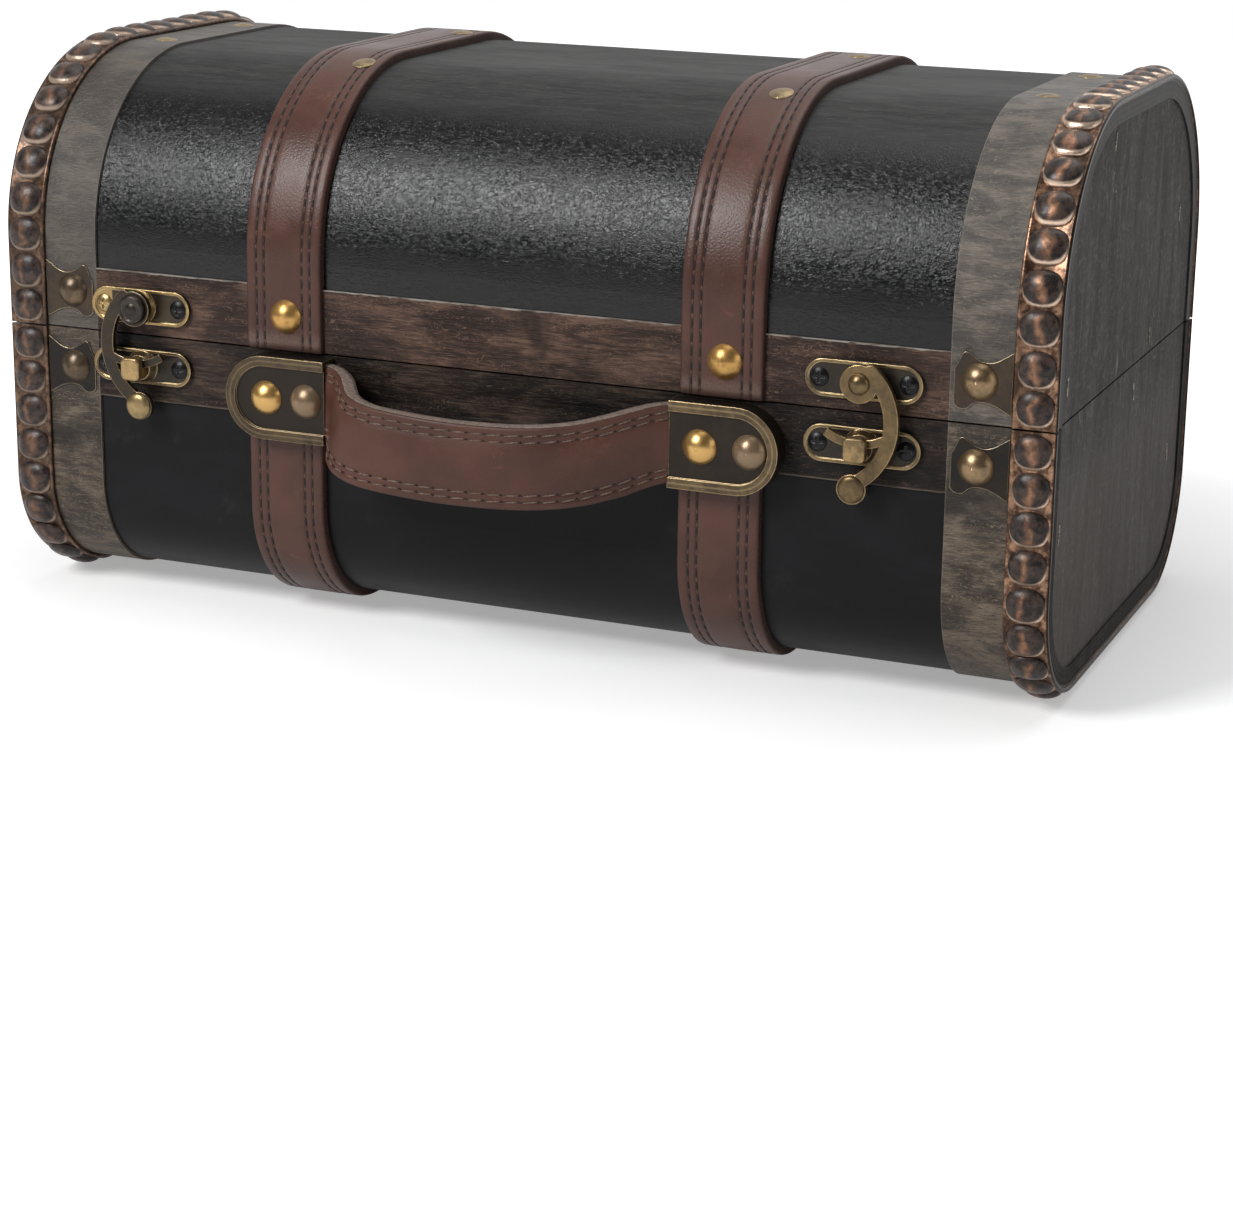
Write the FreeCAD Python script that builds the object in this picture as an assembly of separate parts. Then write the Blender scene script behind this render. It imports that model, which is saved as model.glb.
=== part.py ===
import FreeCAD, Part

import math
import os

# A small wooden trunk with a hinged, barrel-topped lid, dressed with leather straps,
# beaded copper end trims, two swing-hook clasps and a leather carrying handle.
# All sizes are millimetres. X runs along the trunk, Y from front to back and Z up.
# The origin lies on the floor under the middle of the trunk.

# Carcass, over the beads of the end trims
trunk_length = 320.0
trunk_depth = 169.0
trunk_height = 165.0
seam_height = 82.0
seam_gap = 0.5
bottom_corner_radius = 36.0
top_corner_radius = 57.0
board_thickness = 5.0
middle_board_step = 1.2
end_board_thickness = 8.0
end_board_recess = 0.6
board_end_setback = 0.6

# Weathered veneer: rails along the seam and bands round both ends
veneer_thickness = 0.8
band_width = 29.0
lid_rail_height = 18.4
base_rail_height = 19.4

# Embossed trims round both ends
trim_width = 12.3
trim_strip_thickness = 1.2
bead_height = 2.4
bead_width = 9.7
bead_pitch = 10.6
bead_gap = 0.7
bead_corner_radius = 3.0
bead_edge_radius = 1.9
bead_sink = 0.7

# Leather straps
strap_width = 24.0
strap_thickness = 2.6
strap_end_distance = 93.0
strap_end_cover = 2.0

# Domed nails, flat tacks and wood screws
dome_radius = 5.0
dome_height = 3.0
nail_radius = 1.1
tack_radius = 3.4
tack_height = 0.7
screw_head_radius = 2.7
screw_head_height = 0.9
screw_slot_length = 3.2
screw_slot_width = 0.7
screw_slot_depth = 0.6
screw_radius = 1.1
fastener_clearance = 0.1
fastener_reach = 4.6
strap_rivet_rise = 10.2
strap_rivet_offsets = {"left": -0.8, "right": 1.0}
strap_tack_offsets = {"left": -6.4, "right": 2.0}
strap_tack_angle = {"left": 17.0, "right": 19.0}
tack_back_distance = 5.5
band_tack_front_distance = 2.5
band_tack_margin = 8.0

# Bracket-shaped corner plates on the bands
corner_plate_width = 15.8
corner_plate_half_height = 7.7
corner_plate_thickness = 0.4
corner_plate_margin = 1.2
corner_plate_rise = 11.5
corner_rivet_inset = 6.9
corner_top_shares = ((0.0, 0.42), (0.1, 0.8), (0.18, 1.0), (0.28, 0.91),
                     (0.4, 0.75), (0.65, 0.69), (0.83, 0.87), (1.0, 1.1))
corner_bottom_shares = ((0.0, 0.79), (0.13, 0.99), (0.23, 0.96), (0.31, 0.82),
                        (0.59, 0.73), (0.74, 0.82), (0.9, 1.0), (1.0, 1.1))

# Handle plates
handle_plate_length = 31.6
handle_plate_height = 24.4
handle_plate_drop = 0.8
handle_plate_thickness = 1.0
handle_skirt_thickness = 0.8
handle_border_width = 2.9
handle_border_height = 0.8
handle_plate_mouth_offsets = {"left": 15.2, "right": 13.0}
handle_rivet_setbacks = {"left": (5.9, 18.8), "right": (9.0, 23.4)}

# Leather handle
handle_side_clearance = 0.3
handle_thickness = 3.4
handle_bulge = 20.0
handle_sag = 7.0
handle_bend_radius = 14.0
handle_joint_gap = 0.3

# Swing-hook clasps
latch_end_distances = {"left": 45.2, "right": 52.8}
latch_plate_length = 32.7
latch_plate_height = 10.2
latch_plate_thickness = 1.0
latch_rim_width = 0.9
latch_rim_height = 0.4
latch_boss_radius = 4.9
latch_boss_top_radius = 3.7
latch_boss_height = 2.4
latch_screw_spacing = 24.8
latch_rise = 8.7
keeper_drop = 9.2
hook_thickness = 1.8
hook_clearance = 0.3
hook_ring_radius = 5.2
hook_pin_radius = 2.0
hook_pin_clearance = 0.06
hook_pin_head_radius = 2.95
hook_pin_head_height = 1.5
hook_arm_centre_x = -9.9
hook_arm_centre_z = -10.6
hook_arm_radius = 19.1
hook_arm_width = 4.0
hook_arm_top_angle = 47.0
hook_arm_bottom_angle = -62.0
hook_finger_radius = 16.3
hook_finger_width = 2.3
hook_finger_tip_angle = -33.0
hook_finger_root_angle = 31.0
hook_disc_radius = 4.1
hook_disc_x = -1.2
hook_disc_z = -28.8
keeper_post_width = 3.4
keeper_post_height = 3.0
keeper_slot_clearance = 0.4
keeper_lift_clearance = 0.8
keeper_knob_width = 6.2
keeper_knob_height = 6.8
keeper_knob_thickness = 2.2
keeper_knob_corner = 1.6
keeper_knob_round = 0.7

# Butt hinges on the back
hinge_end_distance = 48.0
hinge_width = 32.0
hinge_leaf_height = 13.0
hinge_leaf_thickness = 1.5
hinge_axis_clearance = 0.3
hinge_pin_radius = 1.1
hinge_pin_clearance = 0.05
hinge_knuckle_gap = 0.3
hinge_knuckle_count = 5
hinge_web_reach = 2.4
hinge_screw_spacing = 20.0
hinge_screw_margin = 4.5
hinge_screw_reach = 4.6

# One overrun for every cutting tool, and one for arcs that are trimmed
overrun = 30.0
arc_overrun_share = 1.2

# Surfaces, as insets from the bead tops
strip_inset = bead_height
veneer_inset = strip_inset + trim_strip_thickness
board_inset = veneer_inset + veneer_thickness
cavity_inset = board_inset + board_thickness
strap_inset = board_inset - strap_thickness

# Places that follow from the sizes above
half_length = trunk_length / 2
half_depth = trunk_depth / 2
base_top = seam_height - seam_gap / 2
lid_bottom = seam_height + seam_gap / 2
board_end = half_length - board_end_setback
band_inner = board_end - band_width
trim_inner = half_length - trim_width
end_board_face = board_end - end_board_recess
strap_centre = half_length - strap_end_distance
strap_low = strap_centre - strap_width / 2
tack_back_y = half_depth - top_corner_radius - tack_back_distance
band_tack_front_y = top_corner_radius - half_depth + band_tack_front_distance
hinge_places = (hinge_end_distance - half_length, half_length - hinge_end_distance)
handle_width = handle_plate_height - 2 * handle_skirt_thickness - 2 * handle_side_clearance
handle_plate_middle = seam_height - handle_plate_drop - handle_plate_height / 2
handle_plate_face = handle_thickness + handle_plate_thickness
hinge_axis_y = half_depth + hinge_axis_clearance
hinge_knuckle_radius = hinge_axis_y - (half_depth - veneer_inset) - hinge_leaf_thickness
hook_underside = latch_plate_thickness + latch_boss_height + hook_clearance
hook_face = hook_underside + hook_thickness
sides = {"left": -1, "right": 1}
handle_plate_mouths = {side: strap_centre - offset for side, offset in handle_plate_mouth_offsets.items()}
latch_places = {side: half_length - distance for side, distance in latch_end_distances.items()}

nodes = {}


def vector(x, y, z):
    return FreeCAD.Vector(x, y, z)


def front(inset):
    """Y of the front surface that lies this far in from the bead tops."""
    return inset - half_depth


def line(start, end):
    return Part.LineSegment(start, end).toShape()


def arc(start, middle, end):
    return Part.Arc(start, middle, end).toShape()


def face_of(edges):
    return Part.Face(Part.Wire(edges))


def union(shapes):
    """Join shapes into one and drop the seams between flush faces."""
    return shapes[0].multiFuse(shapes[1:]).removeSplitter()


def corner_arc(centre_y, centre_z, radius, start_angle):
    """Quarter circle in the YZ plane at X zero, turning clockwise from start_angle."""
    points = []
    for turn in (0.0, 45.0, 90.0):
        angle = math.radians(start_angle - turn)
        y = centre_y + radius * math.cos(angle)
        z = centre_z + radius * math.sin(angle)
        points.append(vector(0, y, z))
    return arc(*points)


def outline_face(inset):
    """Cross section of the whole trunk, set in from the bead tops by inset."""
    low_side = half_depth - bottom_corner_radius
    high_side = half_depth - top_corner_radius
    low_radius = bottom_corner_radius - inset
    high_radius = top_corner_radius - inset
    high_centre = trunk_height - top_corner_radius
    corners = [
        corner_arc(-low_side, bottom_corner_radius, low_radius, 270.0),
        corner_arc(-high_side, high_centre, high_radius, 180.0),
        corner_arc(high_side, high_centre, high_radius, 90.0),
        corner_arc(low_side, bottom_corner_radius, low_radius, 0.0),
    ]
    edges = []
    for index, corner in enumerate(corners):
        following = corners[(index + 1) % len(corners)]
        edges.append(corner)
        edges.append(line(corner.lastVertex().Point, following.firstVertex().Point))
    return face_of(edges)


def prism(inset, start_x, end_x):
    """The outline carried along X."""
    body = outline_face(inset).extrude(vector(end_x - start_x, 0, 0))
    body.translate(vector(start_x, 0, 0))
    return body


def ring(outer_inset, inner_inset, start_x, end_x):
    """A layer that wraps right round the trunk."""
    hollow = prism(inner_inset, start_x - overrun, end_x + overrun)
    return prism(outer_inset, start_x, end_x).cut(hollow)


def slab(low_y, high_y, low_z, high_z):
    """A block right across the trunk, used to keep part of a layer."""
    block = Part.makeBox(trunk_length + 2 * overrun, high_y - low_y, high_z - low_z)
    block.translate(vector(-half_length - overrun, low_y, low_z))
    return block


def keep(shape, low_y, high_y, low_z, high_z):
    return shape.common(slab(low_y, high_y, low_z, high_z))


def base_half(shape):
    return keep(shape, -half_depth - overrun, half_depth + overrun, -overrun, base_top)


def lid_half(shape):
    return keep(shape, -half_depth - overrun, half_depth + overrun, lid_bottom, trunk_height + overrun)


def mirrored(shape):
    """The same piece on the other end of the trunk."""
    return shape.mirror(vector(0, 0, 0), vector(1, 0, 0))


def nail(place, outward, head_radius, head_height, shank_radius, reach):
    """A domed head seated at place, with its shank going inwards."""
    ball_radius = (head_radius ** 2 + head_height ** 2) / (2 * head_height)
    sink = ball_radius - head_height
    latitude = math.degrees(math.asin(sink / ball_radius))
    head = Part.makeSphere(ball_radius, place - outward * sink, outward, latitude, 90, 360)
    shank = Part.makeCylinder(shank_radius, reach, place, outward * -1)
    return head.fuse(shank).removeSplitter()


def bore(place, outward, radius, reach):
    """A drill along a fastener, clear of its shank and past both its ends."""
    start = place + outward * overrun
    return Part.makeCylinder(radius + fastener_clearance, overrun + reach + fastener_clearance, start, outward * -1)


def wood_screw(place, outward, reach):
    """A low round head with a cross recess, and a plain shank."""
    body = nail(place, outward, screw_head_radius, screw_head_height, screw_radius, reach)
    depth = screw_slot_depth + overrun
    for along, across in ((screw_slot_length, screw_slot_width), (screw_slot_width, screw_slot_length)):
        tool = Part.makeBox(along, depth, across)
        tool.translate(vector(-along / 2, 0, -across / 2))
        tip = place.y + outward.y * (screw_head_height - screw_slot_depth)
        start_y = min(tip, tip + outward.y * depth)
        tool.translate(vector(place.x, start_y, place.z))
        body = body.cut(tool)
    return body


def pierce(names, drills):
    """Drill the same holes through every named piece."""
    for name in names:
        nodes[name] = nodes[name].cut(Part.makeCompound(drills))


forward = vector(0, -1, 0)
backward = vector(0, 1, 0)


# Wooden carcass

def wall_boards():
    """Front, bottom and back boards of the base, and front, middle and back boards of the lid."""
    shell = ring(board_inset, cavity_inset, -board_end, board_end)
    base = base_half(shell)
    lid = lid_half(shell)
    low_side = half_depth - bottom_corner_radius
    high_side = half_depth - top_corner_radius
    outside = half_depth + overrun
    top = trunk_height + overrun
    nodes["base_front_board"] = keep(base, -outside, -low_side, -overrun, base_top)
    nodes["base_bottom_board"] = keep(base, -low_side, low_side, -overrun, base_top)
    nodes["base_back_board"] = keep(base, low_side, outside, -overrun, base_top)
    nodes["lid_front_board"] = keep(lid, -outside, -high_side, lid_bottom, top)
    nodes["lid_back_board"] = keep(lid, high_side, outside, lid_bottom, top)
    inner_length = 2 * (end_board_face - end_board_thickness)
    step = Part.makeBox(inner_length, 2 * high_side, middle_board_step)
    step.translate(vector(-inner_length / 2, -high_side, trunk_height - cavity_inset - middle_board_step))
    middle = keep(lid, -high_side, high_side, lid_bottom, top)
    nodes["lid_middle_board"] = union([middle, step])


def end_boards():
    """Solid ends let in between the wall boards."""
    right = prism(cavity_inset, end_board_face - end_board_thickness, end_board_face)
    left = mirrored(right)
    nodes["base_right_end_board"] = base_half(right)
    nodes["base_left_end_board"] = base_half(left)
    nodes["lid_right_end_board"] = lid_half(right)
    nodes["lid_left_end_board"] = lid_half(left)


def rails():
    """Thin rails along the seam, front and back, between the bands."""
    layer = ring(veneer_inset, board_inset, -band_inner, band_inner)
    outside = half_depth + overrun
    spans = {"base": (base_top - base_rail_height, base_top), "lid": (lid_bottom, lid_bottom + lid_rail_height)}
    for part, (low, high) in spans.items():
        nodes[part + "_front_rail"] = keep(layer, -outside, 0, low, high)
        nodes[part + "_back_rail"] = keep(layer, 0, outside, low, high)


def bands():
    """Veneer wrapped round both ends, under the trims."""
    right = ring(veneer_inset, board_inset, band_inner, board_end)
    left = mirrored(right)
    nodes["base_right_band"] = base_half(right)
    nodes["base_left_band"] = base_half(left)
    nodes["lid_right_band"] = lid_half(right)
    nodes["lid_left_band"] = lid_half(left)


# Beaded end trims

def bead(length):
    """One rounded-square bead, long along Y, standing on Z zero and sunk below it."""
    body = Part.makeBox(bead_width, length, bead_height + bead_sink)
    body.translate(vector(-bead_width / 2, -length / 2, -bead_sink))
    upright = [edge for edge in body.Edges if abs(edge.tangentAt(edge.FirstParameter).z) > 0.5]
    body = body.makeFillet(bead_corner_radius, upright)
    top = [edge for edge in body.Edges if edge.BoundBox.ZMin > bead_height / 2]
    return body.makeFillet(bead_edge_radius, top)


def bead_station(distance, straight, corner_radius, half_path):
    """Y, rise from the seam and outward angle on the strip, at a distance from the front seam."""
    side = -1
    if distance > half_path:
        distance = 2 * half_path - distance
        side = 1
    strip_radius = corner_radius - strip_inset
    corner_length = strip_radius * math.pi / 2
    corner_y = half_depth - corner_radius
    if distance <= straight:
        return side * (half_depth - strip_inset), distance, side * 90.0, False
    if distance <= straight + corner_length:
        turn = (distance - straight) / strip_radius
        y = corner_y + strip_radius * math.cos(turn)
        rise = straight + strip_radius * math.sin(turn)
        return side * y, rise, side * (90.0 - math.degrees(turn)), True
    y = corner_y - (distance - straight - corner_length)
    return side * y, straight + strip_radius, 0.0, False


def beads(seam_edge, direction, corner_radius, straight):
    """Beads in a row along half of the outline, from the front seam round to the back seam."""
    strip_radius = corner_radius - strip_inset
    half_path = straight + strip_radius * math.pi / 2 + half_depth - corner_radius
    count = round(2 * half_path / bead_pitch)
    pitch = 2 * half_path / count
    length = pitch - bead_gap
    master = bead(length)
    flat_half = length / 2 - bead_edge_radius
    corner_drop = corner_radius - math.sqrt(corner_radius ** 2 - flat_half ** 2)
    middle_x = half_length - trim_width / 2
    row = []
    for index in range(count):
        y, rise, lean, on_corner = bead_station((index + 0.5) * pitch, straight, corner_radius, half_path)
        outward = vector(0, math.sin(math.radians(lean)), direction * math.cos(math.radians(lean)))
        drop = corner_drop if on_corner else 0
        place = vector(middle_x, y, seam_edge + direction * rise) - outward * drop
        turn = math.degrees(math.atan2(-outward.y, outward.z))
        copy = master.copy()
        copy.Placement = FreeCAD.Placement(place, FreeCAD.Rotation(vector(1, 0, 0), turn))
        row.append(copy)
    return row


def trims():
    """Embossed strips nailed round both ends, in a base and a lid length."""
    strip = ring(strip_inset, veneer_inset, trim_inner, half_length)
    base_row = beads(base_top, -1, bottom_corner_radius, base_top - bottom_corner_radius)
    lid_row = beads(lid_bottom, 1, top_corner_radius, trunk_height - top_corner_radius - lid_bottom)
    right_base = union([base_half(strip)] + base_row)
    right_lid = union([lid_half(strip)] + lid_row)
    nodes["base_right_trim"] = right_base
    nodes["base_left_trim"] = mirrored(right_base)
    nodes["lid_right_trim"] = right_lid
    nodes["lid_left_trim"] = mirrored(right_lid)


# Leather straps

def straps():
    """One strap over the lid and one under the base, on each side of the middle."""
    layer = ring(strap_inset, board_inset, strap_low, strap_low + strap_width)
    base = base_half(layer).cut(nodes["base_front_rail"]).cut(nodes["base_back_rail"])
    lid = lid_half(layer).cut(nodes["lid_front_rail"]).cut(nodes["lid_back_rail"])
    hidden_end = seam_height - handle_plate_drop - strap_end_cover
    above_end = slab(-half_depth - overrun, 0, hidden_end, seam_height + overrun)
    base = base.cut(above_end)
    nodes["base_right_strap"] = base
    nodes["base_left_strap"] = mirrored(base)
    nodes["lid_right_strap"] = lid
    nodes["lid_left_strap"] = mirrored(lid)


# Corner plates

def corner_edge(shares, left_x, middle_z, direction, y):
    """A wavy edge through hand-placed points, as a smooth curve."""
    points = []
    for along, rise in shares:
        z = middle_z + direction * rise * corner_plate_half_height
        points.append(vector(left_x + along * corner_plate_width, y, z))
    curve = Part.BSplineCurve()
    curve.interpolate(points)
    return curve.toShape()


def corner_plate(middle_z):
    """One thin plate on the right-hand band."""
    left_x = band_inner + corner_plate_margin
    y = front(veneer_inset)
    top = corner_edge(corner_top_shares, left_x, middle_z, 1, y)
    bottom = corner_edge(corner_bottom_shares, left_x, middle_z, -1, y)
    left = line(bottom.firstVertex().Point, top.firstVertex().Point)
    right = line(top.lastVertex().Point, bottom.lastVertex().Point)
    return face_of([left, top, right, bottom]).extrude(forward * corner_plate_thickness)


def corner_plates():
    """A plate and a domed nail on each band, above and below the seam."""
    rises = {"base": -corner_plate_rise, "lid": corner_plate_rise}
    nail_x = band_inner + corner_plate_margin + corner_rivet_inset
    seat = front(veneer_inset) - corner_plate_thickness
    for part, rise in rises.items():
        middle_z = seam_height + rise
        plate = corner_plate(middle_z)
        nodes[part + "_corner_plates"] = Part.makeCompound([mirrored(plate), plate])
        rivets = []
        drills = []
        for sign in sides.values():
            place = vector(sign * nail_x, seat, middle_z)
            rivets.append(nail(place, forward, dome_radius, dome_height, nail_radius, fastener_reach))
            drills.append(bore(place, forward, nail_radius, fastener_reach))
        nodes[part + "_corner_rivets"] = Part.makeCompound(rivets)
        layers = ["_corner_plates", "_left_band", "_right_band", "_front_board"]
        pierce([part + layer for layer in layers], drills)


# Nails and tacks that hold the straps and the bands

def strap_rivets():
    """A domed nail through the front end of each lid strap."""
    rivets = []
    drills = []
    for side, sign in sides.items():
        rivet_x = strap_centre + strap_rivet_offsets[side]
        place = vector(sign * rivet_x, front(strap_inset), seam_height + strap_rivet_rise)
        rivets.append(nail(place, forward, dome_radius, dome_height, nail_radius, fastener_reach))
        drills.append(bore(place, forward, nail_radius, fastener_reach))
    nodes["lid_strap_rivets"] = Part.makeCompound(rivets)
    pierce(["lid_left_strap", "lid_right_strap", "lid_front_rail", "lid_front_board"], drills)


def tacks(name, places, pierced):
    """Flat tacks on the lid, one for each place and outward direction."""
    heads = []
    drills = []
    for place, outward in places:
        heads.append(nail(place, outward, tack_radius, tack_height, nail_radius, fastener_reach))
        drills.append(bore(place, outward, nail_radius, fastener_reach))
    nodes[name] = Part.makeCompound(heads)
    pierce(pierced, drills)


def lid_tacks():
    """Two tacks on each lid strap and two on each lid band."""
    upward = vector(0, 0, 1)
    radius = top_corner_radius - strap_inset
    on_straps = []
    on_bands = []
    band_x = band_inner + band_tack_margin
    for side, sign in sides.items():
        lean = math.radians(strap_tack_angle[side])
        outward = vector(0, -math.sin(lean), math.cos(lean))
        strap_x = sign * (strap_centre + strap_tack_offsets[side])
        corner = vector(strap_x, top_corner_radius - half_depth, trunk_height - top_corner_radius)
        on_straps.append((corner + outward * radius, outward))
        on_straps.append((vector(strap_x, tack_back_y, trunk_height - strap_inset), upward))
        on_bands.append((vector(sign * band_x, band_tack_front_y, trunk_height - veneer_inset), upward))
        on_bands.append((vector(sign * band_x, tack_back_y, trunk_height - veneer_inset), upward))
    boards = ["lid_front_board", "lid_middle_board"]
    tacks("lid_strap_tacks", on_straps, ["lid_left_strap", "lid_right_strap"] + boards)
    tacks("lid_band_tacks", on_bands, ["lid_left_band", "lid_right_band"] + boards)


# Handle plates, tabs and the handle itself

def handle_plate_outline(mouth, sign, y, inset, mouth_inset):
    """A plate with a straight mouth towards the handle and a half-round far end."""
    radius = handle_plate_height / 2
    start = mouth + mouth_inset
    shoulder = mouth + handle_plate_length - radius
    half = radius - inset
    low = handle_plate_middle - half
    high = handle_plate_middle + half
    edges = [
        line(vector(sign * start, y, low), vector(sign * start, y, high)),
        line(vector(sign * start, y, high), vector(sign * shoulder, y, high)),
        arc(vector(sign * shoulder, y, high), vector(sign * (shoulder + half), y, handle_plate_middle),
            vector(sign * shoulder, y, low)),
        line(vector(sign * shoulder, y, low), vector(sign * start, y, low)),
    ]
    return face_of(edges)


def handle_plate(mouth, sign):
    """Sheet, raised border and a skirt that reaches down to the strap and the rail."""
    strap_face = front(strap_inset)
    sheet_back = strap_face - handle_thickness
    sheet_face = strap_face - handle_plate_face
    sheet = handle_plate_outline(mouth, sign, sheet_back, 0, 0).extrude(forward * handle_plate_thickness)
    border = handle_plate_outline(mouth, sign, sheet_face, 0, 0)
    field = handle_plate_outline(mouth, sign, sheet_face, handle_border_width, -overrun)
    border = border.cut(field).extrude(forward * handle_border_height)
    skirt = handle_plate_outline(mouth, sign, front(veneer_inset), 0, 0)
    clear = handle_plate_outline(mouth, sign, front(veneer_inset), handle_skirt_thickness, -overrun)
    skirt = skirt.cut(clear).extrude(forward * (veneer_inset - strap_inset + handle_thickness))
    return union([sheet, border, skirt])


handle_middle_x = (handle_plate_mouths["right"] - handle_plate_mouths["left"]) / 2
handle_half_span = (handle_plate_mouths["right"] + handle_plate_mouths["left"]) / 2
handle_turn = 2 * math.atan(handle_bulge / handle_half_span)
handle_bow_radius = handle_half_span / math.sin(handle_turn) - handle_bend_radius
handle_split = handle_half_span - handle_bend_radius * math.sin(handle_turn)
handle_plane = front(strap_inset) - handle_thickness / 2
handle_axis_y = handle_plane - handle_bend_radius * (1 - math.cos(handle_turn))


def band_face(centre, across, up, radius, width, start, end):
    """Flat arc-shaped band of a given width about a radius, between two angles in radians."""
    def at(distance, angle):
        return centre + across * (distance * math.cos(angle)) + up * (distance * math.sin(angle))
    middle = (start + end) / 2
    outer = radius + width / 2
    inner = radius - width / 2
    edges = [
        arc(at(outer, start), at(outer, middle), at(outer, end)),
        line(at(outer, end), at(inner, end)),
        arc(at(inner, end), at(inner, middle), at(inner, start)),
        line(at(inner, start), at(outer, start)),
    ]
    return face_of(edges)


def handle_tab(mouth, sign):
    """The fixed end of the handle: flat under its plate, then bent outwards at the mouth."""
    low = handle_plate_middle - handle_width / 2
    inset = handle_skirt_thickness + handle_side_clearance
    flat = handle_plate_outline(mouth, sign, front(strap_inset), inset, 0).extrude(forward * handle_thickness)
    centre = vector(sign * mouth, handle_plane - handle_bend_radius, low)
    inward = vector(-sign, 0, 0)
    bend = band_face(centre, backward, inward, handle_bend_radius, handle_thickness, 0, handle_turn * arc_overrun_share)
    bend = bend.extrude(vector(0, 0, handle_width))
    clear_half = handle_split + handle_joint_gap / 2
    clear = Part.makeBox(2 * clear_half, trunk_depth, trunk_height)
    clear.translate(vector(handle_middle_x - clear_half, -trunk_depth, 0))
    return union([flat, bend]).cut(clear)


def sagging_edge(start_x, end_x, z):
    """Level at both ends and lowest in the middle, in four tangent arcs from start_x to end_x."""
    half = abs(end_x - start_x) / 2
    way = 1 if end_x > start_x else -1
    radius = (half ** 2 + handle_sag ** 2) / (4 * handle_sag)
    turn = 2 * math.atan(handle_sag / half)
    middle_x = (start_x + end_x) / 2
    arcs = []
    outer = [(half, 0), (half - radius * math.sin(turn / 2), radius * (1 - math.cos(turn / 2))),
             (half / 2, handle_sag / 2)]
    inner = [(half / 2, handle_sag / 2),
             (radius * math.sin(turn / 2), handle_sag - radius * (1 - math.cos(turn / 2))), (0, handle_sag)]
    for stretch in (outer, inner):
        arcs.append([vector(middle_x - way * x, 0, z - drop) for x, drop in stretch])
    for stretch in (inner, outer):
        arcs.append([vector(middle_x + way * x, 0, z - drop) for x, drop in reversed(stretch)])
    return [arc(*points) for points in arcs]


def handle_grip():
    """The free part of the handle, bowed outwards and sagging in the middle."""
    low = handle_plate_middle - handle_width / 2
    high = handle_plate_middle + handle_width / 2
    bow_y = handle_plane - handle_bulge + handle_bow_radius
    centre = vector(handle_middle_x, bow_y, low - handle_sag)
    reach = handle_turn * arc_overrun_share
    side_to_side = vector(1, 0, 0)
    bow = band_face(centre, forward, side_to_side, handle_bow_radius, handle_thickness, -reach, reach)
    bow = bow.extrude(vector(0, 0, handle_width + handle_sag))
    half = handle_split - handle_joint_gap / 2
    start = handle_middle_x - half
    end = handle_middle_x + half
    edges = sagging_edge(start, end, high)
    edges.append(line(vector(end, 0, high), vector(end, 0, low)))
    edges += sagging_edge(end, start, low)
    edges.append(line(vector(start, 0, low), vector(start, 0, high)))
    band = face_of(edges).extrude(forward * trunk_depth)
    nodes["handle_grip"] = bow.common(band)


def handle():
    """Plates riveted through the tab, the base strap, the rail and the front board."""
    rivets = []
    for side, sign in sides.items():
        mouth = handle_plate_mouths[side]
        nodes[side + "_handle_plate"] = handle_plate(mouth, sign).cut(nodes["base_" + side + "_strap"])
        nodes[side + "_handle_tab"] = handle_tab(mouth, sign)
        drills = []
        seat = front(strap_inset) - handle_plate_face
        reach = handle_plate_face + fastener_reach
        for setback in handle_rivet_setbacks[side]:
            place = vector(sign * (mouth + setback), seat, handle_plate_middle)
            rivets.append(nail(place, forward, dome_radius, dome_height, nail_radius, reach))
            drills.append(bore(place, forward, nail_radius, reach))
        pierce([side + "_handle_plate", side + "_handle_tab", "base_" + side + "_strap"], drills)
        pierce(["base_front_rail", "base_front_board"], drills)
    nodes["handle_plate_rivets"] = Part.makeCompound(rivets)
    handle_grip()


# Swing-hook clasps

def stadium(middle_x, middle_z, y, inset):
    """A plate outline with two half-round ends."""
    radius = latch_plate_height / 2 - inset
    reach = latch_plate_length / 2 - latch_plate_height / 2
    left = middle_x - reach
    right = middle_x + reach
    low = middle_z - radius
    high = middle_z + radius
    edges = [
        line(vector(left, y, high), vector(right, y, high)),
        arc(vector(right, y, high), vector(right + radius, y, middle_z), vector(right, y, low)),
        line(vector(right, y, low), vector(left, y, low)),
        arc(vector(left, y, low), vector(left - radius, y, middle_z), vector(left, y, high)),
    ]
    return face_of(edges)


def clasp_plate(middle_x, middle_z):
    """Pressed plate with a raised rim and a boss in the middle."""
    back = front(veneer_inset)
    face = back - latch_plate_thickness
    plate = stadium(middle_x, middle_z, back, 0).extrude(forward * latch_plate_thickness)
    rim = stadium(middle_x, middle_z, face, 0).cut(stadium(middle_x, middle_z, face, latch_rim_width))
    rim = rim.extrude(forward * latch_rim_height)
    seat = vector(middle_x, face, middle_z)
    boss = Part.makeCone(latch_boss_radius, latch_boss_top_radius, latch_boss_height, seat, forward)
    return union([plate, rim, boss])


def clasp_screws(name, middle_z, pierced):
    """Two screws in each clasp plate, left and right."""
    screws = []
    for side, sign in sides.items():
        middle_x = sign * latch_places[side]
        drills = []
        for offset in (-latch_screw_spacing / 2, latch_screw_spacing / 2):
            place = vector(middle_x + offset, front(veneer_inset) - latch_plate_thickness, middle_z)
            reach = latch_plate_thickness + fastener_reach
            screws.append(wood_screw(place, forward, reach))
            drills.append(bore(place, forward, screw_radius, reach))
        pierce([side + pierced[0]] + pierced[1:], drills)
    nodes[name] = Part.makeCompound(screws)


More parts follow.
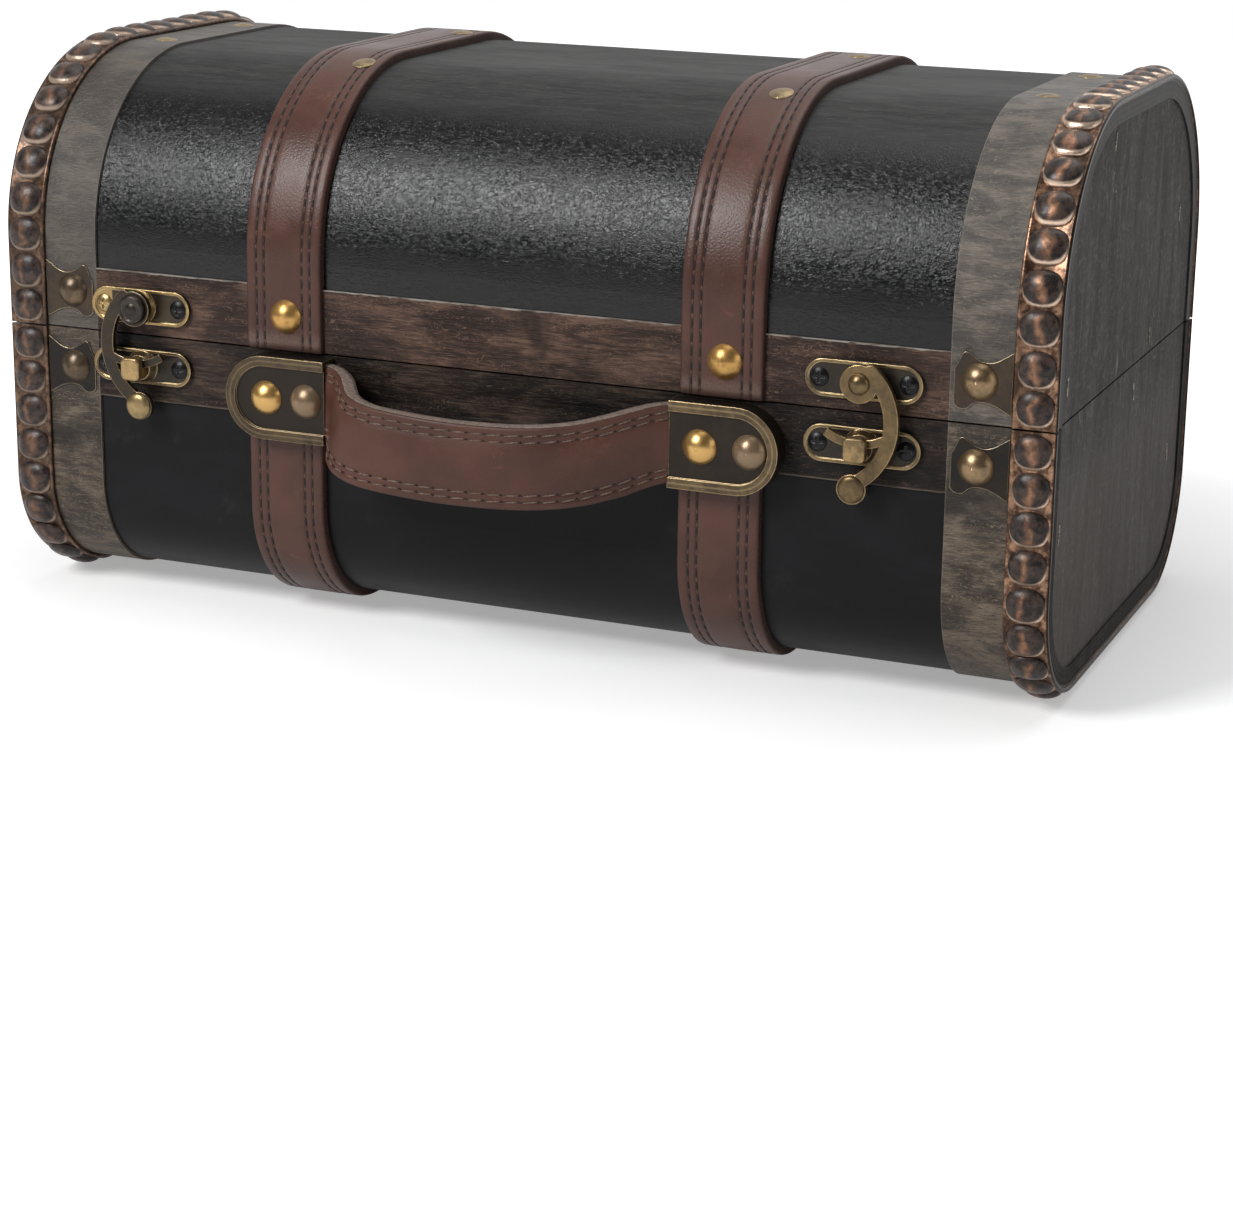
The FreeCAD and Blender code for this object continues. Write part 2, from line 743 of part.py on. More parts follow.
def hook():
    """The swinging hook of the right-hand clasp, drawn about its pivot and set in place."""
    middle_z = seam_height + latch_rise
    y = front(veneer_inset) - hook_underside
    pivot = vector(latch_places["right"], y, middle_z)
    right = vector(1, 0, 0)
    up = vector(0, 0, 1)
    arm_centre = pivot + vector(hook_arm_centre_x, 0, hook_arm_centre_z)
    top = math.radians(hook_arm_top_angle)
    bottom = math.radians(hook_arm_bottom_angle)
    arm = band_face(arm_centre, right, up, hook_arm_radius, hook_arm_width, bottom, top)
    tip = math.radians(hook_finger_tip_angle)
    root = math.radians(hook_finger_root_angle)
    finger = band_face(pivot, up * -1, right, hook_finger_radius, hook_finger_width, tip, root)
    shoulder = arm_centre + right * (hook_arm_radius * math.cos(top)) + up * (hook_arm_radius * math.sin(top))
    disc = pivot + vector(hook_disc_x, 0, hook_disc_z)
    pieces = [arm.extrude(forward * hook_thickness), finger.extrude(forward * hook_thickness)]
    rounds = ((pivot, hook_ring_radius), (shoulder, hook_arm_width / 2), (disc, hook_disc_radius))
    for place, radius in rounds:
        pieces.append(Part.makeCylinder(radius, hook_thickness, place, forward))
    hole_radius = hook_pin_radius + hook_pin_clearance
    hole = Part.makeCylinder(hole_radius, hook_thickness + 2 * overrun, pivot - forward * overrun, forward)
    return union(pieces).cut(hole)


def pivot_rivet(middle_x):
    """Rivet that carries the hook: its shank fills the clasp plate and its head holds the ring."""
    middle_z = seam_height + latch_rise
    place = vector(middle_x, front(veneer_inset) - hook_face - hook_clearance, middle_z)
    reach = hook_face + hook_clearance
    return nail(place, forward, hook_pin_head_radius, hook_pin_head_height, hook_pin_radius, reach)


def keeper_post(middle_x):
    """Post with an overhanging knob; the hook's finger lies on the post, behind the knob."""
    pivot_z = seam_height + latch_rise
    finger_low = pivot_z - hook_finger_radius - hook_finger_width / 2
    post_top = finger_low - keeper_slot_clearance
    back = front(veneer_inset)
    knob_back = hook_face + keeper_lift_clearance
    post = Part.makeBox(keeper_post_width, knob_back, keeper_post_height)
    post.translate(vector(middle_x - keeper_post_width / 2, back - knob_back, post_top - keeper_post_height))
    knob = Part.makeBox(keeper_knob_width, keeper_knob_thickness, keeper_knob_height)
    knob_low = post_top - keeper_post_height
    knob_y = back - knob_back - keeper_knob_thickness
    knob.translate(vector(middle_x - keeper_knob_width / 2, knob_y, knob_low))
    corners = [edge for edge in knob.Edges if abs(edge.tangentAt(edge.FirstParameter).y) > 0.5]
    knob = knob.makeFillet(keeper_knob_corner, corners)
    rim = [edge for edge in knob.Edges if edge.BoundBox.YMax < knob_y + keeper_knob_thickness / 2]
    knob = knob.makeFillet(keeper_knob_round, rim)
    return union([post, knob])


def clasps():
    """A hooked plate on the lid and a keeper on the base, on each side."""
    for side, sign in sides.items():
        middle_x = sign * latch_places[side]
        nodes[side + "_latch_plate"] = clasp_plate(middle_x, seam_height + latch_rise)
        nodes[side + "_keeper_plate"] = clasp_plate(middle_x, seam_height - keeper_drop)
        nodes[side + "_latch_rivet"] = pivot_rivet(middle_x)
        nodes[side + "_keeper_post"] = keeper_post(middle_x)
        rivet_place = vector(middle_x, front(veneer_inset), seam_height + latch_rise)
        pierce([side + "_latch_plate"], [bore(rivet_place, forward, hook_pin_radius, overrun)])
        nodes[side + "_keeper_plate"] = nodes[side + "_keeper_plate"].cut(nodes[side + "_keeper_post"])
    right_hook = hook()
    nodes["right_hook"] = right_hook
    left_hook = mirrored(right_hook)
    left_hook.translate(vector(latch_places["right"] - latch_places["left"], 0, 0))
    nodes["left_hook"] = left_hook
    lid_layers = ["_latch_plate", "lid_front_rail", "lid_front_board"]
    base_layers = ["_keeper_plate", "base_front_rail", "base_front_board"]
    clasp_screws("latch_screws", seam_height + latch_rise, lid_layers)
    clasp_screws("keeper_screws", seam_height - keeper_drop, base_layers)


# Hinges

def knuckle_spans(middle_x, first):
    """X spans of every second knuckle, the base leaf's from first zero and the lid leaf's from one."""
    pitch = hinge_width / hinge_knuckle_count
    start = middle_x - hinge_width / 2
    spans = []
    for index in range(first, hinge_knuckle_count, 2):
        spans.append((start + index * pitch + hinge_knuckle_gap / 2, start + (index + 1) * pitch - hinge_knuckle_gap / 2))
    return spans


def hinge_leaf(middle_x, first, direction):
    """A leaf with its knuckles; direction is down for the base and up for the lid."""
    back = half_depth - veneer_inset
    start = middle_x - hinge_width / 2
    relief = hinge_knuckle_radius + hinge_knuckle_gap
    sheet_near = seam_height + direction * relief
    sheet_far = seam_height + direction * (relief + hinge_leaf_height)
    sheet = Part.makeBox(hinge_width, hinge_leaf_thickness, hinge_leaf_height)
    sheet.translate(vector(start, back, min(sheet_near, sheet_far)))
    pieces = [sheet]
    for low_x, high_x in knuckle_spans(middle_x, first):
        width = high_x - low_x
        neck = Part.makeBox(width, hinge_leaf_thickness, relief)
        neck.translate(vector(low_x, back, min(seam_height, sheet_near)))
        web_depth = hinge_axis_y - back - hinge_pin_radius - hinge_pin_clearance * 2
        web = Part.makeBox(width, web_depth, hinge_web_reach)
        web.translate(vector(low_x, back, min(seam_height, seam_height + direction * hinge_web_reach)))
        tube = Part.makeCylinder(hinge_knuckle_radius, width, vector(low_x, hinge_axis_y, seam_height), vector(1, 0, 0))
        pieces += [neck, web, tube]
    hole_start = vector(start - overrun, hinge_axis_y, seam_height)
    hole_radius = hinge_pin_radius + hinge_pin_clearance
    hole = Part.makeCylinder(hole_radius, hinge_width + 2 * overrun, hole_start, vector(1, 0, 0))
    return union(pieces).cut(hole)


def hinge_screws(part, direction):
    """Two screws in each leaf, through the rail into the back board."""
    screws = []
    drills = []
    relief = hinge_knuckle_radius + hinge_knuckle_gap
    z = seam_height + direction * (relief + hinge_leaf_height - hinge_screw_margin)
    seat = half_depth - veneer_inset + hinge_leaf_thickness
    reach = hinge_leaf_thickness + hinge_screw_reach
    for middle_x in hinge_places:
        for offset in (-hinge_screw_spacing / 2, hinge_screw_spacing / 2):
            place = vector(middle_x + offset, seat, z)
            screws.append(wood_screw(place, backward, reach))
            drills.append(bore(place, backward, screw_radius, reach))
    nodes[part + "_hinge_screws"] = Part.makeCompound(screws)
    layers = ["left_hinge_" + part + "_leaf", "right_hinge_" + part + "_leaf"]
    pierce(layers + [part + "_back_rail", part + "_back_board"], drills)


def hinges():
    """Two butt hinges, each with a base leaf, a lid leaf and a pin held by the base leaf."""
    pins = []
    for side, middle_x in zip(("left", "right"), hinge_places):
        nodes[side + "_hinge_base_leaf"] = hinge_leaf(middle_x, 0, -1)
        nodes[side + "_hinge_lid_leaf"] = hinge_leaf(middle_x, 1, 1)
        start = vector(middle_x - hinge_width / 2, hinge_axis_y, seam_height)
        pins.append(Part.makeCylinder(hinge_pin_radius, hinge_width, start, vector(1, 0, 0)))
    nodes["hinge_pins"] = Part.makeCompound(pins)
    hinge_screws("base", -1)
    hinge_screws("lid", 1)


def build():
    wall_boards()
    end_boards()
    rails()
    bands()
    trims()
    straps()
    corner_plates()
    strap_rivets()
    lid_tacks()
    handle()
    clasps()
    hinges()


def export():
    os.makedirs("parts", exist_ok=True)
    for name, shape in nodes.items():
        shape.exportStep(os.path.join("parts", name + ".step"))
        print(name, "solids", len(shape.Solids), "volume", round(shape.Volume, 1), "valid", shape.isValid())
    print("nodes", len(nodes))
    print("handle axis", handle_middle_x, round(handle_axis_y, 3), handle_plate_middle, "split", round(handle_split, 3))
    print("hinge axis", hinge_axis_y, seam_height, "knuckle radius", hinge_knuckle_radius)


build()
export()
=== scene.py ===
import math

import bpy
from mathutils import Matrix, Vector


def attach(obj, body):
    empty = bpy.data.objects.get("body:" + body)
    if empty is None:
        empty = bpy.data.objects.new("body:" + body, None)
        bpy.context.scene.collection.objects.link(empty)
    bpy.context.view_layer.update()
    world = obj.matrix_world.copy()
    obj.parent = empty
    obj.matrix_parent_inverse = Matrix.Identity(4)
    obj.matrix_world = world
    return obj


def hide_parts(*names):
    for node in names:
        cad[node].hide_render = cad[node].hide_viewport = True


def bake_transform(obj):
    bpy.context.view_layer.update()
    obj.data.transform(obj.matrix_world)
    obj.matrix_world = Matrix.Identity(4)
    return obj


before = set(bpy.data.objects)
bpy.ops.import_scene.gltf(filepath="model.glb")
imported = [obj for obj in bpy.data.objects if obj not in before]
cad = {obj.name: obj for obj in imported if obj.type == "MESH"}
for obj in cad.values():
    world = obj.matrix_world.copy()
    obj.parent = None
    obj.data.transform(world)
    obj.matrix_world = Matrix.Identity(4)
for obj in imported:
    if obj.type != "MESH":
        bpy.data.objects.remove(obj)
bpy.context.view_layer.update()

scene = bpy.context.scene
mm = 0.001

# Studio: a white table, a large soft light high at the front left and weaker ones above and right.
# The camera stands a little to the right of the front and looks slightly down.


class Wire:
    """A node's output. Arithmetic with wires adds the maths nodes for it."""

    def __init__(self, socket):
        self.socket, self.tree = socket, socket.id_data

    def maths(self, operation, *others, clamp=False):
        values = dict(enumerate((self, *others)))
        return shade(self.tree, "ShaderNodeMath", values, operation=operation, use_clamp=clamp)[0]

    def __add__(self, other):
        return self.maths("ADD", other)

    def __sub__(self, other):
        return self.maths("SUBTRACT", other)

    def __rsub__(self, other):
        return shade(self.tree, "ShaderNodeMath", {0: other, 1: self}, operation="SUBTRACT")[0]

    def __mul__(self, other):
        return self.maths("MULTIPLY", other)

    def __gt__(self, other):
        return self.maths("GREATER_THAN", other)

    def __lt__(self, other):
        return self.maths("LESS_THAN", other)

    def __abs__(self):
        return self.maths("ABSOLUTE")


class Node:
    """A node whose outputs are taken by name or number, as wires."""

    def __init__(self, node):
        self.node = node

    def __getitem__(self, key):
        return Wire(self.node.outputs[key])


def feed(node, values):
    """Gives a node's inputs their values: numbers, colours or the wires that feed them."""
    for key, value in values.items():
        socket = node.inputs[key]
        if isinstance(value, Wire):
            value.tree.links.new(value.socket, socket)
        else:
            socket.default_value = (*value, 1.0) if socket.type == "RGBA" else value


def shade(tree, kind, values=None, **settings):
    """Adds a node with its settings and the values of its inputs."""
    node = tree.nodes.new(kind)
    for name, value in settings.items():
        setattr(node, name, value)
    feed(node, values or {})
    return Node(node)


def larger(first, second):
    return first.maths("MAXIMUM", second)


def axes_of(vector):
    return shade(vector.tree, "ShaderNodeSeparateXYZ", {0: vector})


def fade(value, low, high, start=0.0, end=1.0):
    """Goes smoothly from start to end while value goes from low to high."""
    values = {"Value": value, "From Min": low, "From Max": high, "To Min": start, "To Max": end}
    return shade(value.tree, "ShaderNodeMapRange", values, interpolation_type="SMOOTHSTEP")["Result"]


def tint(share, first, second):
    """Mixes two colours."""
    return shade(share.tree, "ShaderNodeMix", {0: share, 6: first, 7: second}, data_type="RGBA")[2]


def new_material(name):
    """A material, its tree and the place of each point on the piece."""
    material = bpy.data.materials.new(name)
    material.use_nodes = True
    tree = material.node_tree
    return material, tree, shade(tree, "ShaderNodeTexCoord")["Object"]


def coat(tree, values):
    """Gives a material's shader its colours and other values."""
    feed(tree.nodes["Principled BSDF"], values)


def new_mesh(name, points, edges=(), faces=(), marks=None):
    """A mesh. marks holds its point attributes: a number or three numbers for each point."""
    mesh = bpy.data.meshes.new(name)
    mesh.from_pydata(points, edges, faces)
    for label, values in (marks or {}).items():
        if len(values) == len(points):
            mesh.attributes.new(label, "FLOAT", "POINT").data.foreach_set("value", values)
        else:
            mesh.attributes.new(label, "FLOAT_VECTOR", "POINT").data.foreach_set("vector", values)
    return mesh


def added(name, data):
    """A new object in the scene."""
    thing = bpy.data.objects.new(name, data)
    scene.collection.objects.link(thing)
    return thing


table_material, tree, place = new_material("white_table")
coat(tree, {"Base Color": (0.8, 0.8, 0.8), "Roughness": 0.9, "Specular IOR Level": 0.1})
path = shade(tree, "ShaderNodeLightPath")
distance = shade(tree, "ShaderNodeVectorMath", {0: place}, operation="LENGTH")["Value"]
seen = path["Is Camera Ray"] * fade(distance, 0.15, 0.42, 0.36, 1.0)
mirrored = path["Is Glossy Ray"] * fade(distance, 0.3, 1.2, 0.2, 0.9)
glow = shade(tree, "ShaderNodeEmission", {"Color": (1.0, 1.0, 1.0), "Strength": larger(seen, mirrored)})
both = shade(tree, "ShaderNodeAddShader", {0: Node(tree.nodes["Principled BSDF"])[0], 1: glow[0]})
feed(tree.nodes["Material Output"], {"Surface": both[0]})

table_corners, table_radius = 64, 1.6
rim = [index * 2 * math.pi / table_corners for index in range(table_corners)]
rim = [(table_radius * math.cos(turn), table_radius * math.sin(turn), 0.0) for turn in rim]
table_mesh = new_mesh("table", rim, faces=[tuple(range(table_corners))])
table_mesh.materials.append(table_material)
table = added("table", table_mesh)
table.location.z = -0.2 * mm

room = bpy.data.worlds.new("room")
scene.world = room
room.use_nodes = True
tree = room.node_tree
path = shade(tree, "ShaderNodeLightPath")
heading = axes_of(shade(tree, "ShaderNodeTexCoord")["Generated"])
behind = fade(heading["Y"], -0.35, 0.75, 0.05, 0.9)
grey = shade(tree, "ShaderNodeCombineColor", {0: behind, 1: behind, 2: behind})[0]
fill = tint(larger(path["Is Glossy Ray"], path["Is Transmission Ray"]), (0.17, 0.172, 0.178), grey)
feed(tree.nodes["Background"], {"Color": tint(path["Is Camera Ray"], fill, (1.0, 1.0, 1.0))})


def soft_light(name, place, width, depth, power):
    """A rectangular lamp that shines at the middle of the trunk."""
    lamp = bpy.data.lights.new(name, "AREA")
    lamp.shape = "RECTANGLE"
    lamp.size = width
    lamp.size_y = depth
    lamp.energy = power
    holder = added(name, lamp)
    holder.location = place
    holder.visible_camera = False
    holder.rotation_euler = (Vector(place) - Vector((0.0, 0.0, 0.08))).to_track_quat("Z", "X").to_euler()


soft_light("main_light", (-0.5, -0.92, 0.86), 0.52, 0.42, 13.0)
soft_light("overhead_light", (0.15, 0.2, 1.25), 1.1, 0.8, 5.5)
soft_light("right_light", (1.4, -0.4, 0.5), 0.7, 0.7, 2.2)

azimuth, elevation, roll = (math.radians(angle) for angle in (22.667, 15.294, 0.7266))
target = Vector((2.3668, 0.0, 25.5272)) * mm
flat = math.cos(elevation)
away = Vector((math.sin(azimuth) * flat, -math.cos(azimuth) * flat, math.sin(elevation)))
level = (-away).cross(Vector((0, 0, 1))).normalized()
upward = level.cross(-away)
camera_x = level * math.cos(roll) + upward * math.sin(roll)
camera_y = upward * math.cos(roll) - level * math.sin(roll)
camera_distance = 904.557
stand = target + away * camera_distance * mm
# The first two are in the picture's pixels
picture_width, focal_length, sensor_width = 1233.0, 2933.125, 36.0
camera_data = bpy.data.cameras.new("camera")
camera_data.sensor_width = sensor_width
camera_data.lens = focal_length * sensor_width / picture_width
camera_data.shift_x = 0.0004
camera_data.shift_y = -0.0864
camera_data.clip_start = 0.01
camera = added("camera", camera_data)
camera.matrix_world = Matrix((*zip(camera_x, camera_y, away, stand), (0.0, 0.0, 0.0, 1.0)))
scene.camera = camera
scene.view_settings.view_transform = "Standard"

# Wall boards: five millimetre planks bent round the front, top, bottom and back, and glued.
# Outside they are stained black; the lid's front curve has a wrinkled, half-glossy lacquer.
# Inside they are bare wood, brown-grey and weathered.

half_depth = 84.5 * mm
height = 165.0 * mm
seam = 82.0 * mm
lid_radius = 57.0 * mm
base_radius = 36.0 * mm
board_ends = (157.6 * mm, 158.6 * mm)


def node_group(name, kind, inputs, outputs):
    """A node group: its tree, its inputs and its output node. An input or output is named by its
    label, with the kind of its socket after a colon if it isn't a number."""
    tree = bpy.data.node_groups.new(name, kind + "NodeTree")
    for in_out, labels in (("INPUT", inputs), ("OUTPUT", outputs)):
        for label in labels:
            label, _, socket_kind = label.partition(":")
            socket_type = "NodeSocket" + (socket_kind or "Float")
            tree.interface.new_socket(label, in_out=in_out, socket_type=socket_type)
    return tree, Node(tree.nodes.new("NodeGroupInput")), tree.nodes.new("NodeGroupOutput")


def use(tree, group, values):
    """Puts a shader group into a material, with its own values."""
    return shade(tree, "ShaderNodeGroup", values, node_tree=group)


def cloudy(vector, scale, detail=4.0, roughness=0.55, distortion=0.0):
    """Noise; a scale of three numbers stretches it."""
    if isinstance(scale, tuple):
        vector = shade(vector.tree, "ShaderNodeMapping", {"Vector": vector, "Scale": scale})[0]
        scale = 1.0
    values = {"Vector": vector, "Scale": scale,
              "Detail": detail, "Roughness": roughness, "Distortion": distortion}
    return shade(vector.tree, "ShaderNodeTexNoise", values)["Fac"]


wall_depth, start, end = node_group("wall_depth", "Shader", ["Vector:Vector"], ["Depth"])
axes = axes_of(start[0])
corner = fade(axes["Z"], seam, seam + 0.01 * mm, base_radius, lid_radius)
over_y = abs(axes["Y"]) - half_depth + corner
over_z = abs(axes["Z"] - height / 2) - height / 2 + corner
reach = (larger(over_y, 0.0).maths("POWER", 2.0) + larger(over_z, 0.0).maths("POWER", 2.0)).maths("SQRT")
outside = reach + larger(over_y, over_z).maths("MINIMUM", 0.0) - corner
feed(end, {0: outside * -1.0})

wood_grain, start, end = node_group(
    "wood_grain", "Shader", ["Vector:Vector", "Fineness"], ["Streaks", "Fibres", "Patches"])
grown = shade(wood_grain, "ShaderNodeVectorMath", {0: start[0], "Scale": start[1]}, operation="SCALE")[0]
feed(end, {
    "Streaks": cloudy(grown, (50.0, 420.0, 420.0), 6.0, 0.62, 0.8),
    "Fibres": cloudy(grown, (230.0, 2300.0, 2300.0), 3.0, 0.6, 0.4),
    "Patches": cloudy(grown, (30.0, 70.0, 70.0), 4.0, 0.55, 0.8)})


def scaled(colour, factor):
    return [value * factor for value in colour]


def layered(colour, *layers):
    """A colour with others laid over it, each through its own mask."""
    for mask, over in layers:
        colour = tint(mask, colour, over)
    return colour


def grain_of(place, fineness=1.0):
    """The streaks, fibres and patches of the wood."""
    grain = use(place.tree, wood_grain, {"Vector": place, "Fineness": fineness})
    return grain["Streaks"], grain["Fibres"], grain["Patches"]


def bare_wood(streaks, fibres, patches):
    """Colour of the unpainted wood on the inside and on the boards' edges."""
    return layered(
        (0.042, 0.031, 0.022),
        (fade(streaks, 0.3, 0.7), (0.125, 0.096, 0.066)),
        (fade(patches, 0.42, 0.68), (0.075, 0.066, 0.054)),
        (fade(fibres, 0.52, 0.74, 0.0, 0.45), (0.028, 0.021, 0.016)))


def ply_waves(depth, spacing):
    """Waves between -1 and 1 for the glued layers that show in a cut edge."""
    return (depth * (2 * math.pi / (spacing * mm))).maths("SINE")


def bumped(relief, distance, strength, **values):
    """The normal of a surface with a relief; the distance is in millimetres."""
    values = {"Height": relief, "Distance": distance * mm, "Strength": strength, **values}
    return shade(relief.tree, "ShaderNodeBump", values)[0]


def board_finish(name, colour, sheen, wrinkled, gloss):
    """Black stained wood outside and bare wood inside; wrinkled is 1 with the lid's lacquer."""
    material, tree, place = new_material(name)
    streaks, fibres, patches = grain_of(place)
    depth = use(tree, wall_depth, {"Vector": place})["Depth"]
    axes = axes_of(place)
    end = fade(abs(axes["X"]), *board_ends)
    inside = fade(depth + fibres * (0.5 * mm), 4.95 * mm, 5.5 * mm) * (1.0 - end)
    top = fade(axes["Z"], 146.0 * mm, 158.0 * mm) * wrinkled
    dull = layered(
        (0.006, 0.006, 0.0062),
        (fade(streaks, 0.35, 0.68), (0.027, 0.0262, 0.025)),
        (fade(fibres, 0.5, 0.72, 0.0, 0.55), (0.07, 0.0667, 0.0625)))
    cut = layered(
        (0.024, 0.021, 0.0192),
        (fade(patches, 0.4, 0.65), (0.058, 0.051, 0.0468)),
        (fade(ply_waves(depth, 1.6), 0.5, 0.95, 0.0, 0.6), (0.009, 0.0085, 0.0085)))
    painted = layered(
        colour,
        (fade(patches, 0.35, 0.7), scaled(colour, 1.7)),
        (top, dull),
        (fade(cloudy(place, 55.0, 5.0, 0.7), 0.6, 0.78) * 0.25, (0.05, 0.048, 0.046)),
        (end, cut))
    shine = (patches - 0.5) * 0.25 + gloss + larger(top, end) * 0.36
    creases = cloudy(place, (608.0, 760.0, 760.0), 2.0, 0.5, 1.8)
    wrinkles = abs(creases - 0.5) * -1.8 + cloudy(place, 1700.0, 2.0, 0.5, 0.6) * 0.45
    curve = (wrinkled - top) * (1.0 - inside) * fade(axes["Z"], 102.0 * mm, 122.0 * mm, 0.35, 1.0)
    wood = (streaks * 0.35 + fibres * 0.5) * larger(larger(top, inside), 0.25)
    coat(tree, {
        "Base Color": tint(inside, painted, bare_wood(streaks, fibres, patches)),
        "Roughness": larger(shine, inside * 0.72),
        "Specular IOR Level": sheen,
        "Normal": bumped(wrinkles * curve + wood, 0.15, 0.9)})
    return material


def dress(material, *names):
    """Gives CAD nodes a material."""
    for name in names:
        cad[name].data.materials.clear()
        cad[name].data.materials.append(material)


dress(board_finish("wrinkled_black_lacquer", (0.0042, 0.0042, 0.0048), 0.37, 1.0, 0.25),
      "lid_front_board", "lid_middle_board", "lid_back_board")
dress(board_finish("smooth_black_stain", (0.0052, 0.0052, 0.006), 0.17, 0.0, 0.45),
      "base_front_board", "base_bottom_board", "base_back_board")

# End boards: eight millimetre boards that close both ends of the base and the lid, stained dark
# grey and scratched. Wire staples and short slots from the making show in their outer faces.

end_stain, tree, place = new_material("grey_stained_end_grain")
upright = shade(tree, "ShaderNodeMapping", {"Vector": place, "Rotation": (0.0, math.pi / 2, 0.0)})[0]
streaks, fibres, patches = grain_of(upright, 0.5)
axes = axes_of(place)
depth = use(tree, wall_depth, {"Vector": place})["Depth"]
inside = fade(abs(axes["X"]) + fibres * (0.5 * mm), *board_ends, 1.0, 0.0)
rough = cloudy(place, (1.0, 170.0, 330.0), 5.0, 0.66, 1.2)
crease_shading = abs(rough - 0.5)
scratch = abs(cloudy(place, (1.0, 260.0, 60.0), 2.0, 0.5, 1.0) - 0.5) < 0.014
near_trim = fade(depth + patches * (3.0 * mm), 7.0 * mm, 11.0 * mm, 1.0, 0.0)
plies = fade(ply_waves(depth, 1.5), 0.55, 0.95) * near_trim
face = layered(
    (0.02, 0.0175, 0.016),
    # Lighter where the relief stands high: painted shading of the relief
    (fade(rough, 0.34, 0.64), (0.064, 0.0565, 0.052)),
    (fade(streaks, 0.4, 0.64, 0.0, 0.3), (0.026, 0.0228, 0.021)),
    (fade(cloudy(place, 26.0, 5.0, 0.7), 0.42, 0.62, 0.0, 0.6), (0.022, 0.0195, 0.018)),
    (fade(fibres, 0.3, 0.46, 0.35, 0.0), (0.13, 0.115, 0.104)),
    # Painted shading of the relief: dark thin lines in its creases and a lighter band beside them
    (fade(crease_shading, 0.0, 0.03, 0.42, 0.0), (0.014, 0.0122, 0.0115)),
    (fade(crease_shading, 0.06, 0.14, 0.0, 0.32), (0.12, 0.104, 0.093)),
    (fade(axes["Z"], 55.0 * mm, 82.0 * mm, 0.48, 0.0), (0.12, 0.103, 0.092)),
    (scratch * fade(cloudy(place, 26.0, 3.0, 0.6), 0.58, 0.66, 0.0, 0.7), (0.26, 0.232, 0.2)),
    (plies * 0.75, (0.009, 0.0088, 0.009)))
coat(tree, {
    "Base Color": tint(inside, face, bare_wood(streaks, fibres, patches)),
    "Roughness": fade(streaks, 0.3, 0.7, 0.55, 0.68),
    "Specular IOR Level": 0.15,
    "Normal": bumped(fibres * 0.2 + rough - plies * 0.8, 0.5, 1.0)})
dress(end_stain, "lid_left_end_board", "lid_right_end_board", "base_left_end_board", "base_right_end_board")


def solid(name, points, faces, material, marks=None):
    """A finished piece at its place."""
    mesh = new_mesh(name, points, faces=faces, marks=marks)
    mesh.validate()
    mesh.materials.append(material)
    return added(name, mesh)


staple_wire, tree, place = new_material("dull_staple_wire")
worn = fade(cloudy(place, 900.0, 3.0), 0.4, 0.65)
coat(tree, {
    "Base Color": tint(worn, (0.06, 0.052, 0.045), (0.46, 0.4, 0.33)),
    "Metallic": 0.7,
    "Roughness": 0.45})

ends = (("left", -1), ("right", 1))
# Y and Z of each staple in millimetres, and its lean in degrees
staple_places = {"lid": ((-69.0, 91.6, 4.0), (26.5, 87.0, -8.0), (-29.5, 151.0, 14.0), (58.0, 118.0, -3.0)),
                 "base": ((9.9, 73.5, -10.0), (-70.0, 51.8, 5.0), (61.0, 44.0, -6.0), (-22.0, 8.5, 88.0))}
staple_outline = ((3.0, 0.0), (2.4, 0.42), (-2.4, 0.42), (-3.0, 0.0), (-2.4, -0.42), (2.4, -0.42))
corners = len(staple_outline)
end_face = 158.8
for part, staples in staple_places.items():
    for side, way in ends:
        points, faces = [], []
        for y, z, lean in staples:
            lean = math.radians(lean)
            along = Vector((0.0, math.sin(lean), math.cos(lean)))
            across = Vector((0.0, math.cos(lean), -math.sin(lean)))
            first = len(points)
            rows = [range(first + ring, first + ring + corners) for ring in (0, corners, 2 * corners)]
            for rise, grow in ((-0.4, 1.0), (0.12, 1.0), (0.22, 0.6)):
                for length, width in staple_outline:
                    spot = along * length * (0.8 + 0.2 * grow) + across * width * grow
                    points.append((Vector((way * (end_face + rise), y, z)) + spot) * mm)
            skin = [list(rows[2]), list(rows[0])[::-1]]
            for low, high in zip(rows, rows[1:]):
                skin += [[low[i - 1], low[i], high[i], high[i - 1]] for i in range(corners)]
            faces += [face[::-1] for face in skin] if way > 0 else skin
        piece = solid(part + "_" + side + "_staples", points, faces, staple_wire)
        piece.data.shade_flat()
        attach(piece, part)

# Rails: thin strips of dark brown, distressed veneer glued along the seam, front and back, on
# the base and on the lid. Their edges are chipped to a lighter wood.


